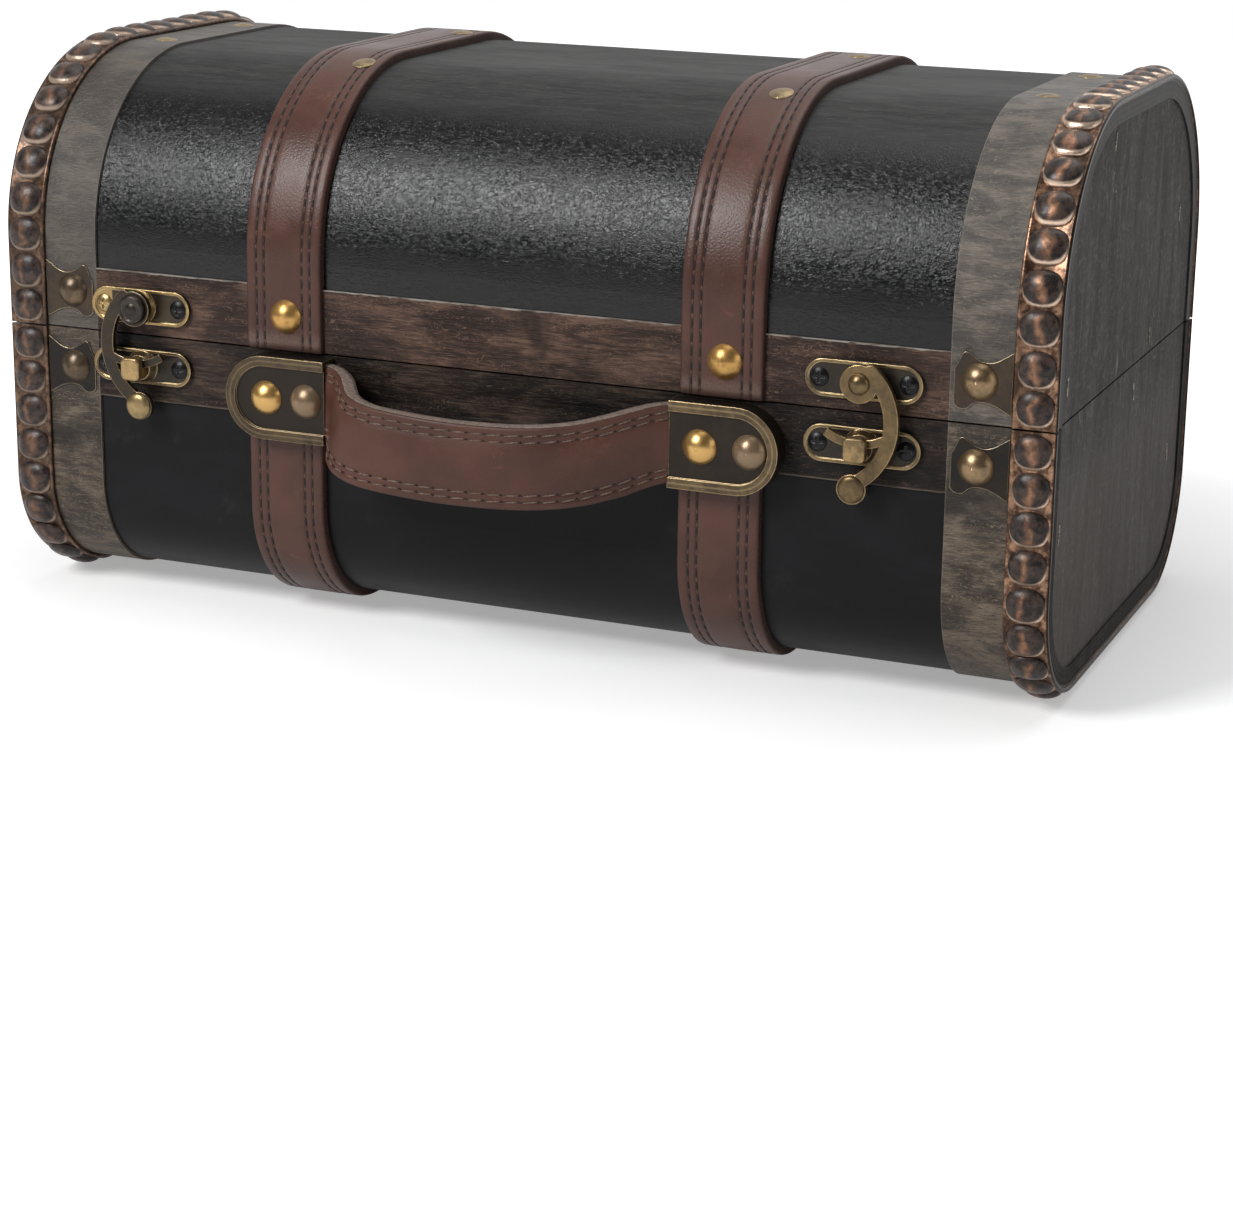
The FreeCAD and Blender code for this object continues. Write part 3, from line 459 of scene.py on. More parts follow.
def veneer_finish(name, dark, middle, light, pale, smudge, fineness, contrast, sheen, left_darkening,
                  axis, low, high):
    """Distressed veneer. Its edge turns pale from low to high along an axis, in millimetres, and its colour
    grows darker towards the left end by the share given.
    """
    material, tree, place = new_material(name)
    streaks, fibres, patches = grain_of(place, fineness)
    axes = axes_of(place)
    hairs = fade(fibres, 0.52, 0.66) * (fade(patches, 0.4, 0.6) * 0.7 + 0.15)
    bent = cloudy(place, (260.0, 520.0, 520.0), 2.0, 0.5, 1.4)
    lines = fade(abs(bent - 0.5), 0.004, 0.024, 0.8 * contrast, 0.0)
    stain = cloudy(place, (22.0, 30.0, 30.0), 4.0, 0.6, 0.6)
    chipped = fade(abs(axes[axis]) + (fibres - 0.5) * (0.9 * mm), low * mm, high * mm)
    coat(tree, {
        "Base Color": layered(
            dark,
            (fade(streaks * 0.25 + patches * 0.75, 0.32, 0.58), middle),
            (fade(streaks, 0.25, 0.6) * fade(patches, 0.44, 0.66) * (0.5 * contrast), light),
            (hairs * (0.7 * contrast), light),
            (fade(fibres, 0.3, 0.48, 0.62 * contrast, 0.0), dark),
            (lines * fade(streaks, 0.42, 0.6), light),
            (fade(stain, 0.5, 0.66, 0.0, smudge), scaled(dark, 0.5)),
            (chipped * fade(fibres, 0.36, 0.56, 0.25, 1.0), pale),
            # Darker towards the left end
            (fade(axes["X"], -120.0 * mm, 120.0 * mm, left_darkening, 0.0), dark)),
        "Roughness": fade(streaks, 0.3, 0.7, 0.34, 0.52),
        "Specular IOR Level": sheen,
        "Normal": bumped(fibres + streaks * 0.6, 0.25, 0.85)})
    return material


dress(veneer_finish(
    "lid_rail_veneer", (0.0165, 0.0101, 0.0081), (0.048, 0.0272, 0.0205), (0.19, 0.112, 0.078),
    (0.34, 0.31, 0.27), smudge=0.7, fineness=0.9, contrast=1.15, sheen=0.2, left_darkening=0.15,
    axis="Z", low=100.25, high=100.5), "lid_front_rail", "lid_back_rail")
# The base rail's veneer is coloured much darker than the lid rail's: painted shade from the handle above it
# and from its lower place
dress(veneer_finish(
    "base_rail_veneer_painted_shade", (0.0042, 0.003, 0.0026), (0.0145, 0.0092, 0.0073), (0.085, 0.054, 0.038),
    (0.12, 0.09, 0.068), smudge=0.8, fineness=0.9, contrast=1.15, sheen=0.2, left_darkening=0.0,
    axis="Z", low=63.0, high=62.6), "base_front_rail", "base_back_rail")

# End bands: grey-brown veneer with fine cross lines, wrapped round each end in a base and a lid
# length. The copper trims cover their outer halves.

dress(veneer_finish(
    "lid_band_veneer", (0.036, 0.0285, 0.022), (0.07, 0.0565, 0.0445), (0.2, 0.165, 0.127),
    (0.2, 0.17, 0.135), smudge=0.45, fineness=1.9, contrast=1.4, sheen=0.58, left_darkening=0.5,
    axis="X", low=130.7, high=130.4), "lid_left_band", "lid_right_band")
dress(veneer_finish(
    "base_band_veneer", (0.024, 0.0178, 0.0126), (0.064, 0.0485, 0.0345), (0.21, 0.16, 0.113),
    (0.2, 0.155, 0.115), smudge=0.7, fineness=1.9, contrast=1.4, sheen=0.35, left_darkening=0.15,
    axis="X", low=130.7, high=130.4), "base_left_band", "base_right_band")

# End trims: copper-coloured strips stamped with a row of rounded beads, darkened with age and
# rubbed bright on the beads' edges. Over the rubbed copper, the bright crescents on the beads' lower
# edges and the streaks down their middles are painted reflections, weaker towards the left end.
# They are bent round both ends and nailed on.

lid_bottom = 82.25 * mm
base_top = 81.75 * mm


def half_outline(part, inset, step, front_end=None):
    """Points and outward directions round the lid or the base, from its front end to the back
    seam, with the distance travelled."""
    rise, finish, radius = (1, lid_bottom, lid_radius) if part == "lid" else (-1, base_top, base_radius)
    begin = front_end or finish
    middle_y = half_depth - radius
    middle_z = height - radius if part == "lid" else radius
    bend = radius - inset
    stations = []
    curve = bend * math.pi / 2
    lengths = (abs(middle_z - begin), curve, 2 * middle_y, curve, abs(middle_z - finish))
    travelled = 0.0
    for leg, length in enumerate(lengths):
        side = -1 if leg < 2 else 1
        count = max(1, math.ceil(length / step))
        for index in range(0 if leg == 0 else 1, count + 1):
            share = index / count
            if leg in (0, 4):
                z = begin + rise * share * length if leg == 0 else middle_z - rise * share * length
                point = Vector((0, side * (half_depth - inset), z))
                outward = Vector((0, side, 0))
            elif leg == 2:
                point = Vector((0, middle_y * (2 * share - 1), middle_z + rise * bend))
                outward = Vector((0, 0, rise))
            else:
                turn = (share if leg == 1 else 1 - share) * math.pi / 2
                outward = Vector((0, side * math.cos(turn), rise * math.sin(turn)))
                point = Vector((0, side * middle_y, middle_z)) + outward * bend
            stations.append((point, outward, travelled + share * length))
        travelled += length
    return stations


def lifted(point, outward, rise, x):
    """A point raised off the outline and moved along the trunk, both in millimetres."""
    return point + outward * rise * mm + Vector((x * mm, 0, 0))


def lofted(name, rings, marks, material):
    """A closed skin through rings of points, with both ends capped. A ring close to each end
    keeps the caps from bending the shading of the skin."""
    count = len(rings[0])
    first, last = ([a.lerp(b, 0.02) for a, b in zip(rings[end], rings[near])]
                   for end, near in ((0, 1), (-1, -2)))
    rings = [rings[0], first] + rings[1:-1] + [last, rings[-1]]
    marks = {label: values[:count] + values[:-count] + values[-count:] * 2 for label, values in marks.items()}
    points = [point for ring in rings for point in ring]
    faces = []
    for low in range(0, len(points) - count, count):
        high = low + count
        for index in range(count):
            after = (index + 1) % count
            faces.append((low + index, low + after, high + after, high + index))
    faces.append(tuple(range(count))[::-1])
    faces.append(tuple(range(len(points) - count, len(points))))
    volume = 0.0
    for face in faces:
        for second, third in zip(face[1:], face[2:]):
            volume += points[face[0]].cross(points[second]).dot(points[third])
    if volume < 0:
        faces = [face[::-1] for face in faces]
    piece = solid(name, points, faces, material, marks)
    piece.data.shade_smooth()
    for cap in piece.data.polygons[-2:]:
        cap.use_smooth = False
    return piece


def mark(tree, name):
    return shade(tree, "ShaderNodeAttribute", attribute_name=name)["Fac"]


# Its ring mark is 0 at a bead's middle, 1 at the bead's edge and 2 on the strip
aged_copper, tree, place = new_material("aged_copper")
ring, across, along = (mark(tree, name) for name in ("ring", "across", "along"))
mottle = cloudy(place, 420.0, 5.0, 0.65)
fine = cloudy(place, 1500.0, 4.0, 0.6)
x = axes_of(place)["X"]
# shine: the painted reflections below, and the strip's copper, grow weaker towards the left end
shine = fade(x, -90.0 * mm, 90.0 * mm, 0.45, 1.0)
astray = (cloudy(place, 150.0, 2.0) - 0.5) * 1.5
# A streak down each bead's middle: rubbed copper under a painted reflection
streak_wear_and_reflection = fade(abs(across + astray) + mottle * 0.5, 0.16, 0.6, 1.0, 0.0)
middle = streak_wear_and_reflection * fade(ring + (mottle - 0.5) * 0.5, 0.5, 0.95, 1.0, 0.0)
middle = middle * fade(mottle, 0.36, 0.56, 0.3, 1.0) * shine
# The lip: a bright crescent on each bead's lower edge (the front edge on the top), a painted reflection of
# the table over rubbed copper
lip_reflection_and_wear = fade(ring - along * 0.24 + mottle * 0.12, 0.98, 1.16) * shine
on_strip = fade(ring, 1.02, 1.4)
bead = layered(
    (0.016, 0.013, 0.0125),
    (fade(mottle, 0.38, 0.62), (0.066, 0.043, 0.034)),
    (middle * 0.9, (0.44, 0.225, 0.13)),
    (lip_reflection_and_wear, (0.84, 0.63, 0.48)))
strip = layered(
    (0.085, 0.047, 0.031),
    (fade(mottle, 0.4, 0.64), (0.46, 0.265, 0.165)),
    (fade(cloudy(place, 60.0, 3.0, 0.6), 0.45, 0.62, 0.0, 0.6), (0.045, 0.03, 0.024)))
strip = layered(
    (0.05, 0.034, 0.026),
    (shine * 0.9, strip),
    (fade(abs(x), 159.3 * mm, 159.8 * mm), (0.022, 0.016, 0.0135)))
coat(tree, {
    "Base Color": tint(on_strip, bead, strip),
    "Metallic": larger(larger(lip_reflection_and_wear * 0.9, on_strip * 0.65), middle * 0.7),
    "Roughness": fade(fine, 0.3, 0.7, 0.26, 0.42),
    "Specular IOR Level": 0.3,
    "Normal": bumped(mottle + fine * 0.3, 0.12, 0.6)})


def grown_by(tree, points, values, name):
    """Runs a geometry tree on points and keeps the result as a plain mesh."""
    modifier = points.modifiers.new("grown", "NODES")
    modifier.node_group = tree
    for item in tree.interface.items_tree:
        if item.in_out == "INPUT" and item.name in values:
            modifier[item.identifier] = values[item.name]
    bpy.context.view_layer.update()
    shown = points.evaluated_get(bpy.context.evaluated_depsgraph_get())
    mesh = bpy.data.meshes.new_from_object(shown)
    mesh.name = name
    points.modifiers.remove(modifier)
    bpy.data.objects.remove(points)
    mesh.shade_smooth()
    return added(name, mesh)


def stamp_all(start, end, points, stamp, turn, smallest, largest, seed):
    """Puts a stamp of slightly varied size on every point, makes it real and paints it."""
    tree = start.node.id_data
    limits = {0: smallest, 1: largest, "Seed": seed}
    size = shade(tree, "FunctionNodeRandomValue", limits, data_type="FLOAT_VECTOR")
    rows = shade(tree, "GeometryNodeInstanceOnPoints", {
        "Points": points, "Instance": stamp, "Rotation": turn, "Scale": size["Value"]})
    real = shade(tree, "GeometryNodeRealizeInstances", {"Geometry": rows["Instances"]})
    painted = shade(tree, "GeometryNodeSetMaterial", {"Geometry": real[0], "Material": start["Material"]})
    feed(end, {0: painted[0]})


def combined(tree, **values):
    return shade(tree, "ShaderNodeCombineXYZ", values)[0]


bead_tree, start, end = node_group(
    "beads_in_a_row", "Geometry",
    ["Geometry:Geometry", "Bead:Object", "Material:Material"], ["Geometry:Geometry"])
stamp = shade(bead_tree, "GeometryNodeObjectInfo", {"Object": start["Bead"]})["Geometry"]
turn = shade(bead_tree, "GeometryNodeInputNamedAttribute", {"Name": "turn"})["Attribute"]
stamp_all(start, end, start["Geometry"], stamp, combined(bead_tree, X=turn),
          smallest=(0.93, 0.93, 0.84), largest=(1.0, 1.0, 1.0), seed=7)


def stamped_bead(length, width, rise):
    """One rounded-square dome, with the marks that its finish reads."""
    around, squareness, steps = 28, 2.5, (0.0, 0.2, 0.4, 0.58, 0.73, 0.85, 0.93, 0.98, 1.0, 1.0)
    last = len(steps) - 1
    points, marks = [], {"ring": [], "across": [], "along": []}
    for level, share in enumerate(steps):
        for index in range(around if share else 1):
            angle = 2 * math.pi * index / around
            across, along = math.cos(angle), math.sin(angle)
            stretch = share * (abs(across) ** squareness + abs(along) ** squareness) ** (-1 / squareness)
            across, along = across * stretch, along * stretch
            top = rise * (1 - share ** 2.1) ** 0.62 if level < last else -0.7 * mm
            points.append(Vector((across * width / 2, along * length / 2, top)))
            marks["ring"].append(share if level < last else 1.03)
            marks["across"].append(across)
            marks["along"].append(along)
    faces = [(0, 1 + index, 1 + (index + 1) % around) for index in range(around)]
    for low in range(1, 1 + (last - 1) * around, around):
        high = low + around
        for index in range(around):
            after = (index + 1) % around
            faces.append((low + index, high + index, high + after, low + after))
    faces.append(tuple(1 + (last - 1) * around + index for index in range(around))[::-1])
    return added("bead", new_mesh("bead", points, faces=faces, marks=marks))


strip_profile = ((0.0, 0.0), (0.0, 0.8), (0.12, 1.05), (0.4, 1.2), (0.9, 1.2), (1.15, 1.08),
                 (11.15, 1.08), (11.4, 1.2), (11.9, 1.2), (12.2, 1.0), (12.3, 0.7), (12.3, 0.0))
strip_start, bead_middle = 147.7, 153.85
for part, count in (("lid", 26), ("base", 28)):
    for side, way in ends:
        name = part + "_" + side + "_trim"
        rings = [[lifted(point, outward, rise, way * (strip_start + out)) for out, rise in strip_profile]
                 for point, outward, travelled in half_outline(part, 3.6 * mm, 2.2 * mm)]
        on_strip = [2.0] * (len(rings) * len(strip_profile))
        strip = lofted(name + "_strip", rings, {"ring": on_strip}, aged_copper)
        stations = half_outline(part, 2.4 * mm, 0.5 * mm)
        pitch = stations[-1][2] / count
        points, turns = [], []
        for index in range(count):
            centre = (index + 0.5) * pitch
            point, outward, travelled = min(stations, key=lambda station: abs(station[2] - centre))
            points.append(lifted(point, outward, -0.1, way * bead_middle))
            turns.append(math.atan2(-outward.y, outward.z))
        holder = added("bead_places", new_mesh("bead_places", points, marks={"turn": turns}))
        bead = stamped_bead(pitch - 0.3 * mm, 10.8 * mm, 2.45 * mm)
        row = grown_by(bead_tree, holder, {"Bead": bead, "Material": aged_copper}, name + "_beads")
        bpy.data.objects.remove(bead)
        for piece in (strip, row):
            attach(piece, part)
            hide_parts(name)

# Straps: reddish brown leather, 24 mm wide, one over the lid and one under the base on each
# side. Each is pressed with two pairs of grooves, and sewn through them with brown thread.

leather_hide, start, end = node_group(
    "leather_hide", "Shader", ["Vector:Vector", "Wear"], ["Tone", "Scuffs", "Relief"])
vector = start["Vector"]
bent = cloudy(vector, 260.0, 3.0, 0.6, 1.2)
cells = shade(leather_hide, "ShaderNodeTexVoronoi", {"Vector": vector, "Scale": 900.0},
              feature="DISTANCE_TO_EDGE")
feed(end, {
    "Tone": cloudy(vector, 48.0, 4.0, 0.55, 0.4),
    "Scuffs": fade(bent, 0.56, 0.7) * fade(cloudy(vector, 70.0, 3.0), 0.5, 0.66) * start["Wear"],
    "Relief": fade(cells["Distance"], 0.0, 0.3) * 0.45 + cloudy(vector, 1500.0, 3.0) * 0.4 + bent * 0.5})


worn_end_height = 84.6


def leather_finish(name, dark, middle, gloss, worn_ends):
    """Smooth waxed leather: side is 1 on the cut edges. A mark of 1 in the pressed grooves darkens them with
    painted shade.
    """
    material, tree, place = new_material(name)
    hide = use(tree, leather_hide, {"Vector": place, "Wear": 0.8})
    tone, scuffs, relief = hide["Tone"], hide["Scuffs"], hide["Relief"]
    side = mark(tree, "side")
    colour = layered(dark, (fade(tone, 0.34, 0.66), middle), (scuffs * 0.5, scaled(middle, 2.2)))
    if worn_ends:
        rubbed = abs(axes_of(place)["Z"] - worn_end_height * mm) + relief * (3.0 * mm)
        colour = tint(fade(rubbed, 1.5 * mm, 6.0 * mm, 0.75, 0.0), colour, (0.145, 0.095, 0.073))
    raw = tint(fade(relief, 0.5, 0.8), scaled(dark, 0.42), scaled(dark, 0.9))
    coat(tree, {
        # Painted shade darkens the pressed grooves
        "Base Color": layered(colour, (mark(tree, "groove_shade") * 0.75, scaled(dark, 0.3)), (side, raw)),
        "Roughness": fade(tone, 0.3, 0.7, gloss, gloss + 0.1) + side * 0.35 + scuffs * 0.2,
        "Specular IOR Level": 0.38,
        "Normal": bumped(relief, 0.07, 0.7)})
    return material


def thread_finish(name, dark, light):
    """Twisted thread. The flat blobs between the stitches are marked 1 and painted near black, as the shade
    in the needle holes.
    """
    material, tree, place = new_material(name)
    twist = cloudy(place, 1800.0, 3.0, 0.6)
    coat(tree, {
        "Base Color": layered(
            dark, (fade(twist, 0.35, 0.65), light), (mark(tree, "hole"), (0.009, 0.006, 0.005))),
        "Roughness": 0.75,
        "Normal": bumped(twist, 0.08, 0.8)})
    return material


tree, start, end = node_group(
    "stitches_along_rows", "Geometry",
    ["Geometry:Geometry", "Pitch", "Length", "Width", "Height", "Slant", "Hole", "Material:Material"],
    ["Geometry:Geometry"])
stitch_tree = tree
line = shade(tree, "GeometryNodeMeshToCurve", {"Mesh": start["Geometry"]})[0]
spaced = shade(tree, "GeometryNodeResampleCurve", {"Curve": line, "Length": start["Pitch"]}, mode="LENGTH")[0]
outward = shade(tree, "GeometryNodeInputNamedAttribute", {"Name": "outward"}, data_type="FLOAT_VECTOR")
tangent = shade(tree, "GeometryNodeInputTangent")
facing = shade(tree, "FunctionNodeAlignRotationToVector", {"Vector": outward["Attribute"]}, axis="Z")
facing = shade(tree, "FunctionNodeAlignRotationToVector", {"Rotation": facing[0], "Vector": tangent[0]},
               axis="X", pivot_axis="Z")
lean = combined(tree, Z=start["Slant"])
facing = shade(tree, "FunctionNodeRotateRotation", {"Rotation": facing[0], "Rotate By": lean},
               rotation_space="LOCAL")
ball = shade(tree, "GeometryNodeMeshUVSphere", {"Segments": 8, "Rings": 6, "Radius": 0.5})["Mesh"]
shape = combined(tree, X=start["Length"], Y=start["Width"], Z=start["Height"])
thread = shade(tree, "GeometryNodeTransform", {"Geometry": ball, "Scale": shape})[0]
# Flat blobs between the stitches, marked to be painted near black as the shade in the needle holes
marked = shade(tree, "GeometryNodeStoreNamedAttribute", {"Geometry": ball, "Name": "hole", "Value": 1.0})[0]
shape = combined(tree, X=start["Hole"], Y=start["Width"], Z=start["Height"])
halfway = combined(tree, X=start["Pitch"] * 0.5)
hole_shades = shade(tree, "GeometryNodeTransform", {"Geometry": marked, "Scale": shape, "Translation": halfway})[0]
pair = shade(tree, "GeometryNodeJoinGeometry", {0: thread})
feed(pair.node, {0: hole_shades})
stamp_all(start, end, spaced, pair[0], facing[0],
          smallest=(0.9, 0.9, 0.96), largest=(1.04, 1.1, 1.04), seed=3)


def sewn(name, rows, material, pitch, length, width, rise, hole, slant=0.0):
    """Stitches along rows of (point, outward direction) pairs, with dark blobs of painted shade for the
    needle holes between them.
    """
    points, edges, facings = [], [], []
    for row in rows:
        for index, (point, outward) in enumerate(row):
            if index:
                edges.append((len(points) - 1, len(points)))
            points.append(point)
            facings += list(outward)
    holder = added("stitch_rows", new_mesh("stitch_rows", points, edges, marks={"outward": facings}))
    values = {"Pitch": pitch * mm, "Length": length * mm, "Width": width * mm, "Height": rise * mm,
              "Hole": hole * mm, "Slant": slant, "Material": material}
    return grown_by(stitch_tree, holder, values, name)


strap_leather = leather_finish(
    "reddish_brown_leather", (0.062, 0.0232, 0.015), (0.091, 0.0368, 0.025), gloss=0.34, worn_ends=True)
brown_thread = thread_finish("brown_thread", (0.04, 0.018, 0.012), (0.12, 0.064, 0.043))
strap_middle, strap_inset = 67.0, 4.4 * mm
base_strap_top = 79.2 * mm
rail_bottom, rail_top = 62.35 * mm, 100.65 * mm
groove_places = (6.1, 8.6)
# Across a groove: distance from its middle, height, and the mark of the painted shade in it
groove_profile = ((0.62, 2.56, 0.0), (0.36, 2.46, 0.85), (0.0, 2.36, 1.0),
                  (-0.36, 2.46, 0.85), (-0.62, 2.56, 0.0))
# Across the strap: distance from its middle, height, and the marks of its sides and of the painted shade in
# its grooves
strap_half = [(12.0, 0.0, 1.0, 0.0), (12.0, 0.3, 1.0, 0.0), (12.0, 1.5, 1.0, 0.0), (11.9, 2.0, 0.9, 0.0),
              (11.6, 2.35, 0.4, 0.0), (11.1, 2.52, 0.0, 0.0), (10.0, 2.56, 0.0, 0.0)]
for centre in reversed(groove_places):
    strap_half += [(centre + out, rise, 0.0, groove_shade) for out, rise, groove_shade in groove_profile]
strap_half += [(4.0, 2.6, 0.0, 0.0), (1.5, 2.6, 0.0, 0.0)]
strap_section = [(-out, *rest) for out, *rest in strap_half] + strap_half[::-1]
for part in ("lid", "base"):
    for side, way in ends:
        rings, side_marks, groove_shade_marks = [], [], []
        front_end = base_strap_top if part == "base" else None
        stations = half_outline(part, strap_inset, 2.0 * mm, front_end)
        total = stations[-1][2]
        for point, outward, travelled in stations:
            over_rail = abs(outward.z) < 0.01 and rail_bottom < point.z < rail_top
            lift = 0.8 if over_rail else 0.0
            near_end = min(travelled, total - travelled) / mm
            round_off = 0.45 * max(0.0, 1 - near_end) ** 2
            ring = []
            for out, rise, on_side, groove_shade in strap_section:
                rise = rise - round_off if rise > 0.3 else lift + rise * 0.2
                ring.append(lifted(point, outward, rise, way * strap_middle + out))
                side_marks.append(on_side if near_end > 0.3 else 1.0)
                groove_shade_marks.append(groove_shade)
            rings.append(ring)
        name = part + "_" + side + "_strap"
        strap = lofted(name + "_leather", rings, {"side": side_marks, "groove_shade": groove_shade_marks}, strap_leather)
        seam_path = [(point, outward)
                     for point, outward, travelled in half_outline(part, strap_inset, 1.0 * mm, front_end)
                     if 1.5 * mm < travelled < total - 1.5 * mm]
        rows = [[(lifted(point, outward, 2.31, way * strap_middle + sign * out), outward)
                 for point, outward in seam_path] for out in groove_places for sign in (-1, 1)]
        thread = sewn(name + "_stitches", rows, brown_thread, 3.9, 1.5, 0.7, 0.5, 2.8)
        for piece in (strap, thread):
            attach(piece, part)
            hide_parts(name)

# Corner plates: thin bracket-shaped plates on the end bands beside the seam, darkened brass with
# bright wavy edges. A domed nail goes through each.

worn_edges, start, end = node_group("worn_edges", "Shader", ["Radius"], ["Mask", "Normal:Vector"])
softened = shade(worn_edges, "ShaderNodeBevel", {"Radius": start["Radius"]}, samples=8)[0]
sharp = shade(worn_edges, "ShaderNodeNewGeometry")["Normal"]
likeness = shade(worn_edges, "ShaderNodeVectorMath", {0: softened, 1: sharp}, operation="DOT_PRODUCT")
feed(end, {"Mask": fade(likeness["Value"], 0.82, 0.995, 1.0, 0.0), "Normal": softened})


def patina_finish(name, dark, metal, bright, patina=0.5, rub=0.7, radius=0.4, gloss=0.3, spots=(),
                  raised=None, ridge=None):
    """Aged metal: dark patina over metal, rubbed bright on its edges. spots are the stretches of
    X, in millimetres, where a piece is bright or dark: (low, high, share). raised is the Y at
    which a rim stands out of a dark field; ridge gives the mask of a line pressed into the rim."""
    material, tree, place = new_material(name)
    edges = use(tree, worn_edges, {"Radius": radius * mm})
    mottle = relief = cloudy(place, 520.0, 5.0, 0.65)
    shown = fade(cloudy(place, 130.0, 4.0, 0.6) * 0.6 + mottle * 0.4, patina - 0.2, patina + 0.2)
    if raised:
        y = axes_of(place)["Y"]
        shown = fade(y, (raised - 0.12) * mm, (raised + 0.12) * mm, 1.0, 0.1) * (shown + 0.35)
    for low, high, share in spots:
        x = axes_of(place)["X"]
        shown = shown.maths("ADD", (x > low * mm) * (x < high * mm) * share, clamp=True)
    rubbed = edges["Mask"] * fade(mottle, 0.3, 0.55, rub * 0.55, rub)
    if ridge:
        line = ridge(place)
        rubbed = larger(rubbed, line * 0.16)
        relief = mottle + line * 4.0
    coat(tree, {
        "Base Color": layered(dark, (shown, metal), (rubbed, bright)),
        "Metallic": larger(shown * 0.33 + 0.62, rubbed),
        "Roughness": fade(mottle, 0.3, 0.7, gloss, gloss + 0.1),
        "Normal": bumped(relief, 0.04, 0.4, Normal=edges["Normal"])})
    return material


dress(patina_finish(
    "lid_corner_metal", (0.036, 0.027, 0.021), (0.085, 0.062, 0.042), (0.7, 0.56, 0.36),
    patina=0.54, rub=1.0), "lid_corner_plates")
dress(patina_finish(
    "base_corner_metal", (0.014, 0.0115, 0.0105), (0.045, 0.034, 0.025), (0.62, 0.5, 0.33),
    patina=0.58, rub=1.0), "base_corner_plates")

# Domed nails and flat tacks: stamped brass-plated heads on nails, driven through the corner
# plates, straps and bands. Some have kept their shine and some have gone dark.

dress(patina_finish(
    "corner_nail_bronze", (0.1, 0.071, 0.046), (0.34, 0.235, 0.13), (0.64, 0.47, 0.27),
    rub=0.5, radius=0.3, gloss=0.28, spots=((-160.0, 0.0, -0.55), (0.0, 160.0, 0.35))),
    "lid_corner_rivets", "base_corner_rivets")
dress(patina_finish(
    "gold_nail", (0.3, 0.162, 0.05), (0.66, 0.385, 0.125), (0.88, 0.62, 0.3),
    patina=0.44, rub=0.5, radius=0.3), "lid_strap_rivets")
dress(patina_finish(
    "plate_rivet_brass", (0.26, 0.178, 0.108), (0.72, 0.44, 0.15), (0.9, 0.67, 0.33),
    patina=0.74, rub=0.5, radius=0.3, gloss=0.28, spots=((-78.0, -64.0, 0.9), (56.0, 70.0, 0.9))),
    "handle_plate_rivets")
dress(patina_finish(
    "flat_tack_brass", (0.13, 0.095, 0.055), (0.38, 0.28, 0.15), (0.7, 0.54, 0.3),
    patina=0.48, rub=0.9, radius=0.3, gloss=0.36), "lid_strap_tacks", "lid_band_tacks")

# Handle plates: stamped brass plates with a raised border and an open mouth for the leather,
# dark in the field and bright along the border. Two domed rivets hold each.

handle_height = 69.0
border_y, border_radius = -87.5, 10.8
straight_end, further_on_right = 71.2, 2.2


def border_ridge(place):
    """A line round the middle of the plates' borders: straight sides and a half circle."""
    axes = axes_of(place)
    shoulder = (axes["X"] > 0.0) * (further_on_right * mm) + straight_end * mm
    past = larger(abs(axes["X"]) - shoulder, 0.0)
    up = axes["Z"] - handle_height * mm
    reach = (past * past + up * up).maths("SQRT")
    return fade(abs(reach - border_radius * mm), 0.12 * mm, 0.38 * mm, 1.0, 0.0)


dress(patina_finish(
    "handle_plate_metal", (0.014, 0.0105, 0.0085), (0.16, 0.115, 0.066), (0.85, 0.63, 0.34),
    rub=1.0, gloss=0.36, raised=border_y, ridge=border_ridge), "right_handle_plate")
dress(patina_finish(
    "dull_handle_plate_metal", (0.017, 0.013, 0.0105), (0.11, 0.082, 0.052), (0.5, 0.375, 0.21),
    rub=0.9, gloss=0.36, raised=border_y, ridge=border_ridge), "left_handle_plate")

# Handle: one band of thick leather, riveted under the plates at both ends. It bows outwards,
# leans back a little and hangs lower on the left; two rows of stitches run along each edge.

handle_leather = leather_finish(
    "handle_leather", (0.06, 0.0218, 0.013), (0.088, 0.0345, 0.0218), gloss=0.42, worn_ends=False)
grey_thread = thread_finish("grey_brown_thread", (0.08, 0.048, 0.035), (0.19, 0.125, 0.094))
raw_edge, tree, place = new_material("raw_leather_edge")
fray = cloudy(place, 1100.0, 4.0, 0.65)
coat(tree, {
    "Base Color": tint(fade(fray, 0.3, 0.7), (0.11, 0.078, 0.062), (0.25, 0.19, 0.155)),
    "Roughness": 0.85,
    "Normal": bumped(fray, 0.3, 0.9)})

handle_half_width, handle_half_thickness = 11.1, 1.7
# The free part is fuller by these, reached where it stands this far out
fuller_width, fuller_thickness, full_at = 0.6, 0.45, 8.0
# Past a plate's mouth a tab is straight, then round. The seams stop this far before the round.
tab_straight, tab_round, seams_short = 19.4, 10.6, 16.0
plate_y = -84.4
# Along the band: X, distance out from the plates' plane, drop of the middle line, lean in degrees
handle_route = [(x, 0.0, 0.0, 0.0) for x in (-76.0, -70.0, -64.0, -58.0, -53.2)]
handle_route += [
    (-49.0, 1.6, 0.5, 4.0), (-45.5, 5.4, 1.9, 10.0), (-42.5, 10.0, 3.6, 12.0), (-38.0, 14.8, 5.2, 10.0),
    (-30.0, 18.4, 6.4, 7.0), (-18.0, 20.3, 7.0, 4.0), (-5.0, 20.9, 7.4, 2.0), (8.0, 20.6, 7.3, 1.0),
    (20.0, 19.2, 6.8, 0.0), (31.0, 15.8, 5.6, 0.0), (40.0, 10.6, 3.6, 0.0), (46.0, 6.0, 1.8, 0.0),
    (50.0, 2.9, 0.7, 0.0), (54.5, 0.6, 0.1, 0.0)]
handle_route += [(x, 0.0, 0.0, 0.0) for x in (58.5, 64.0, 70.0, 77.0, 82.0)]


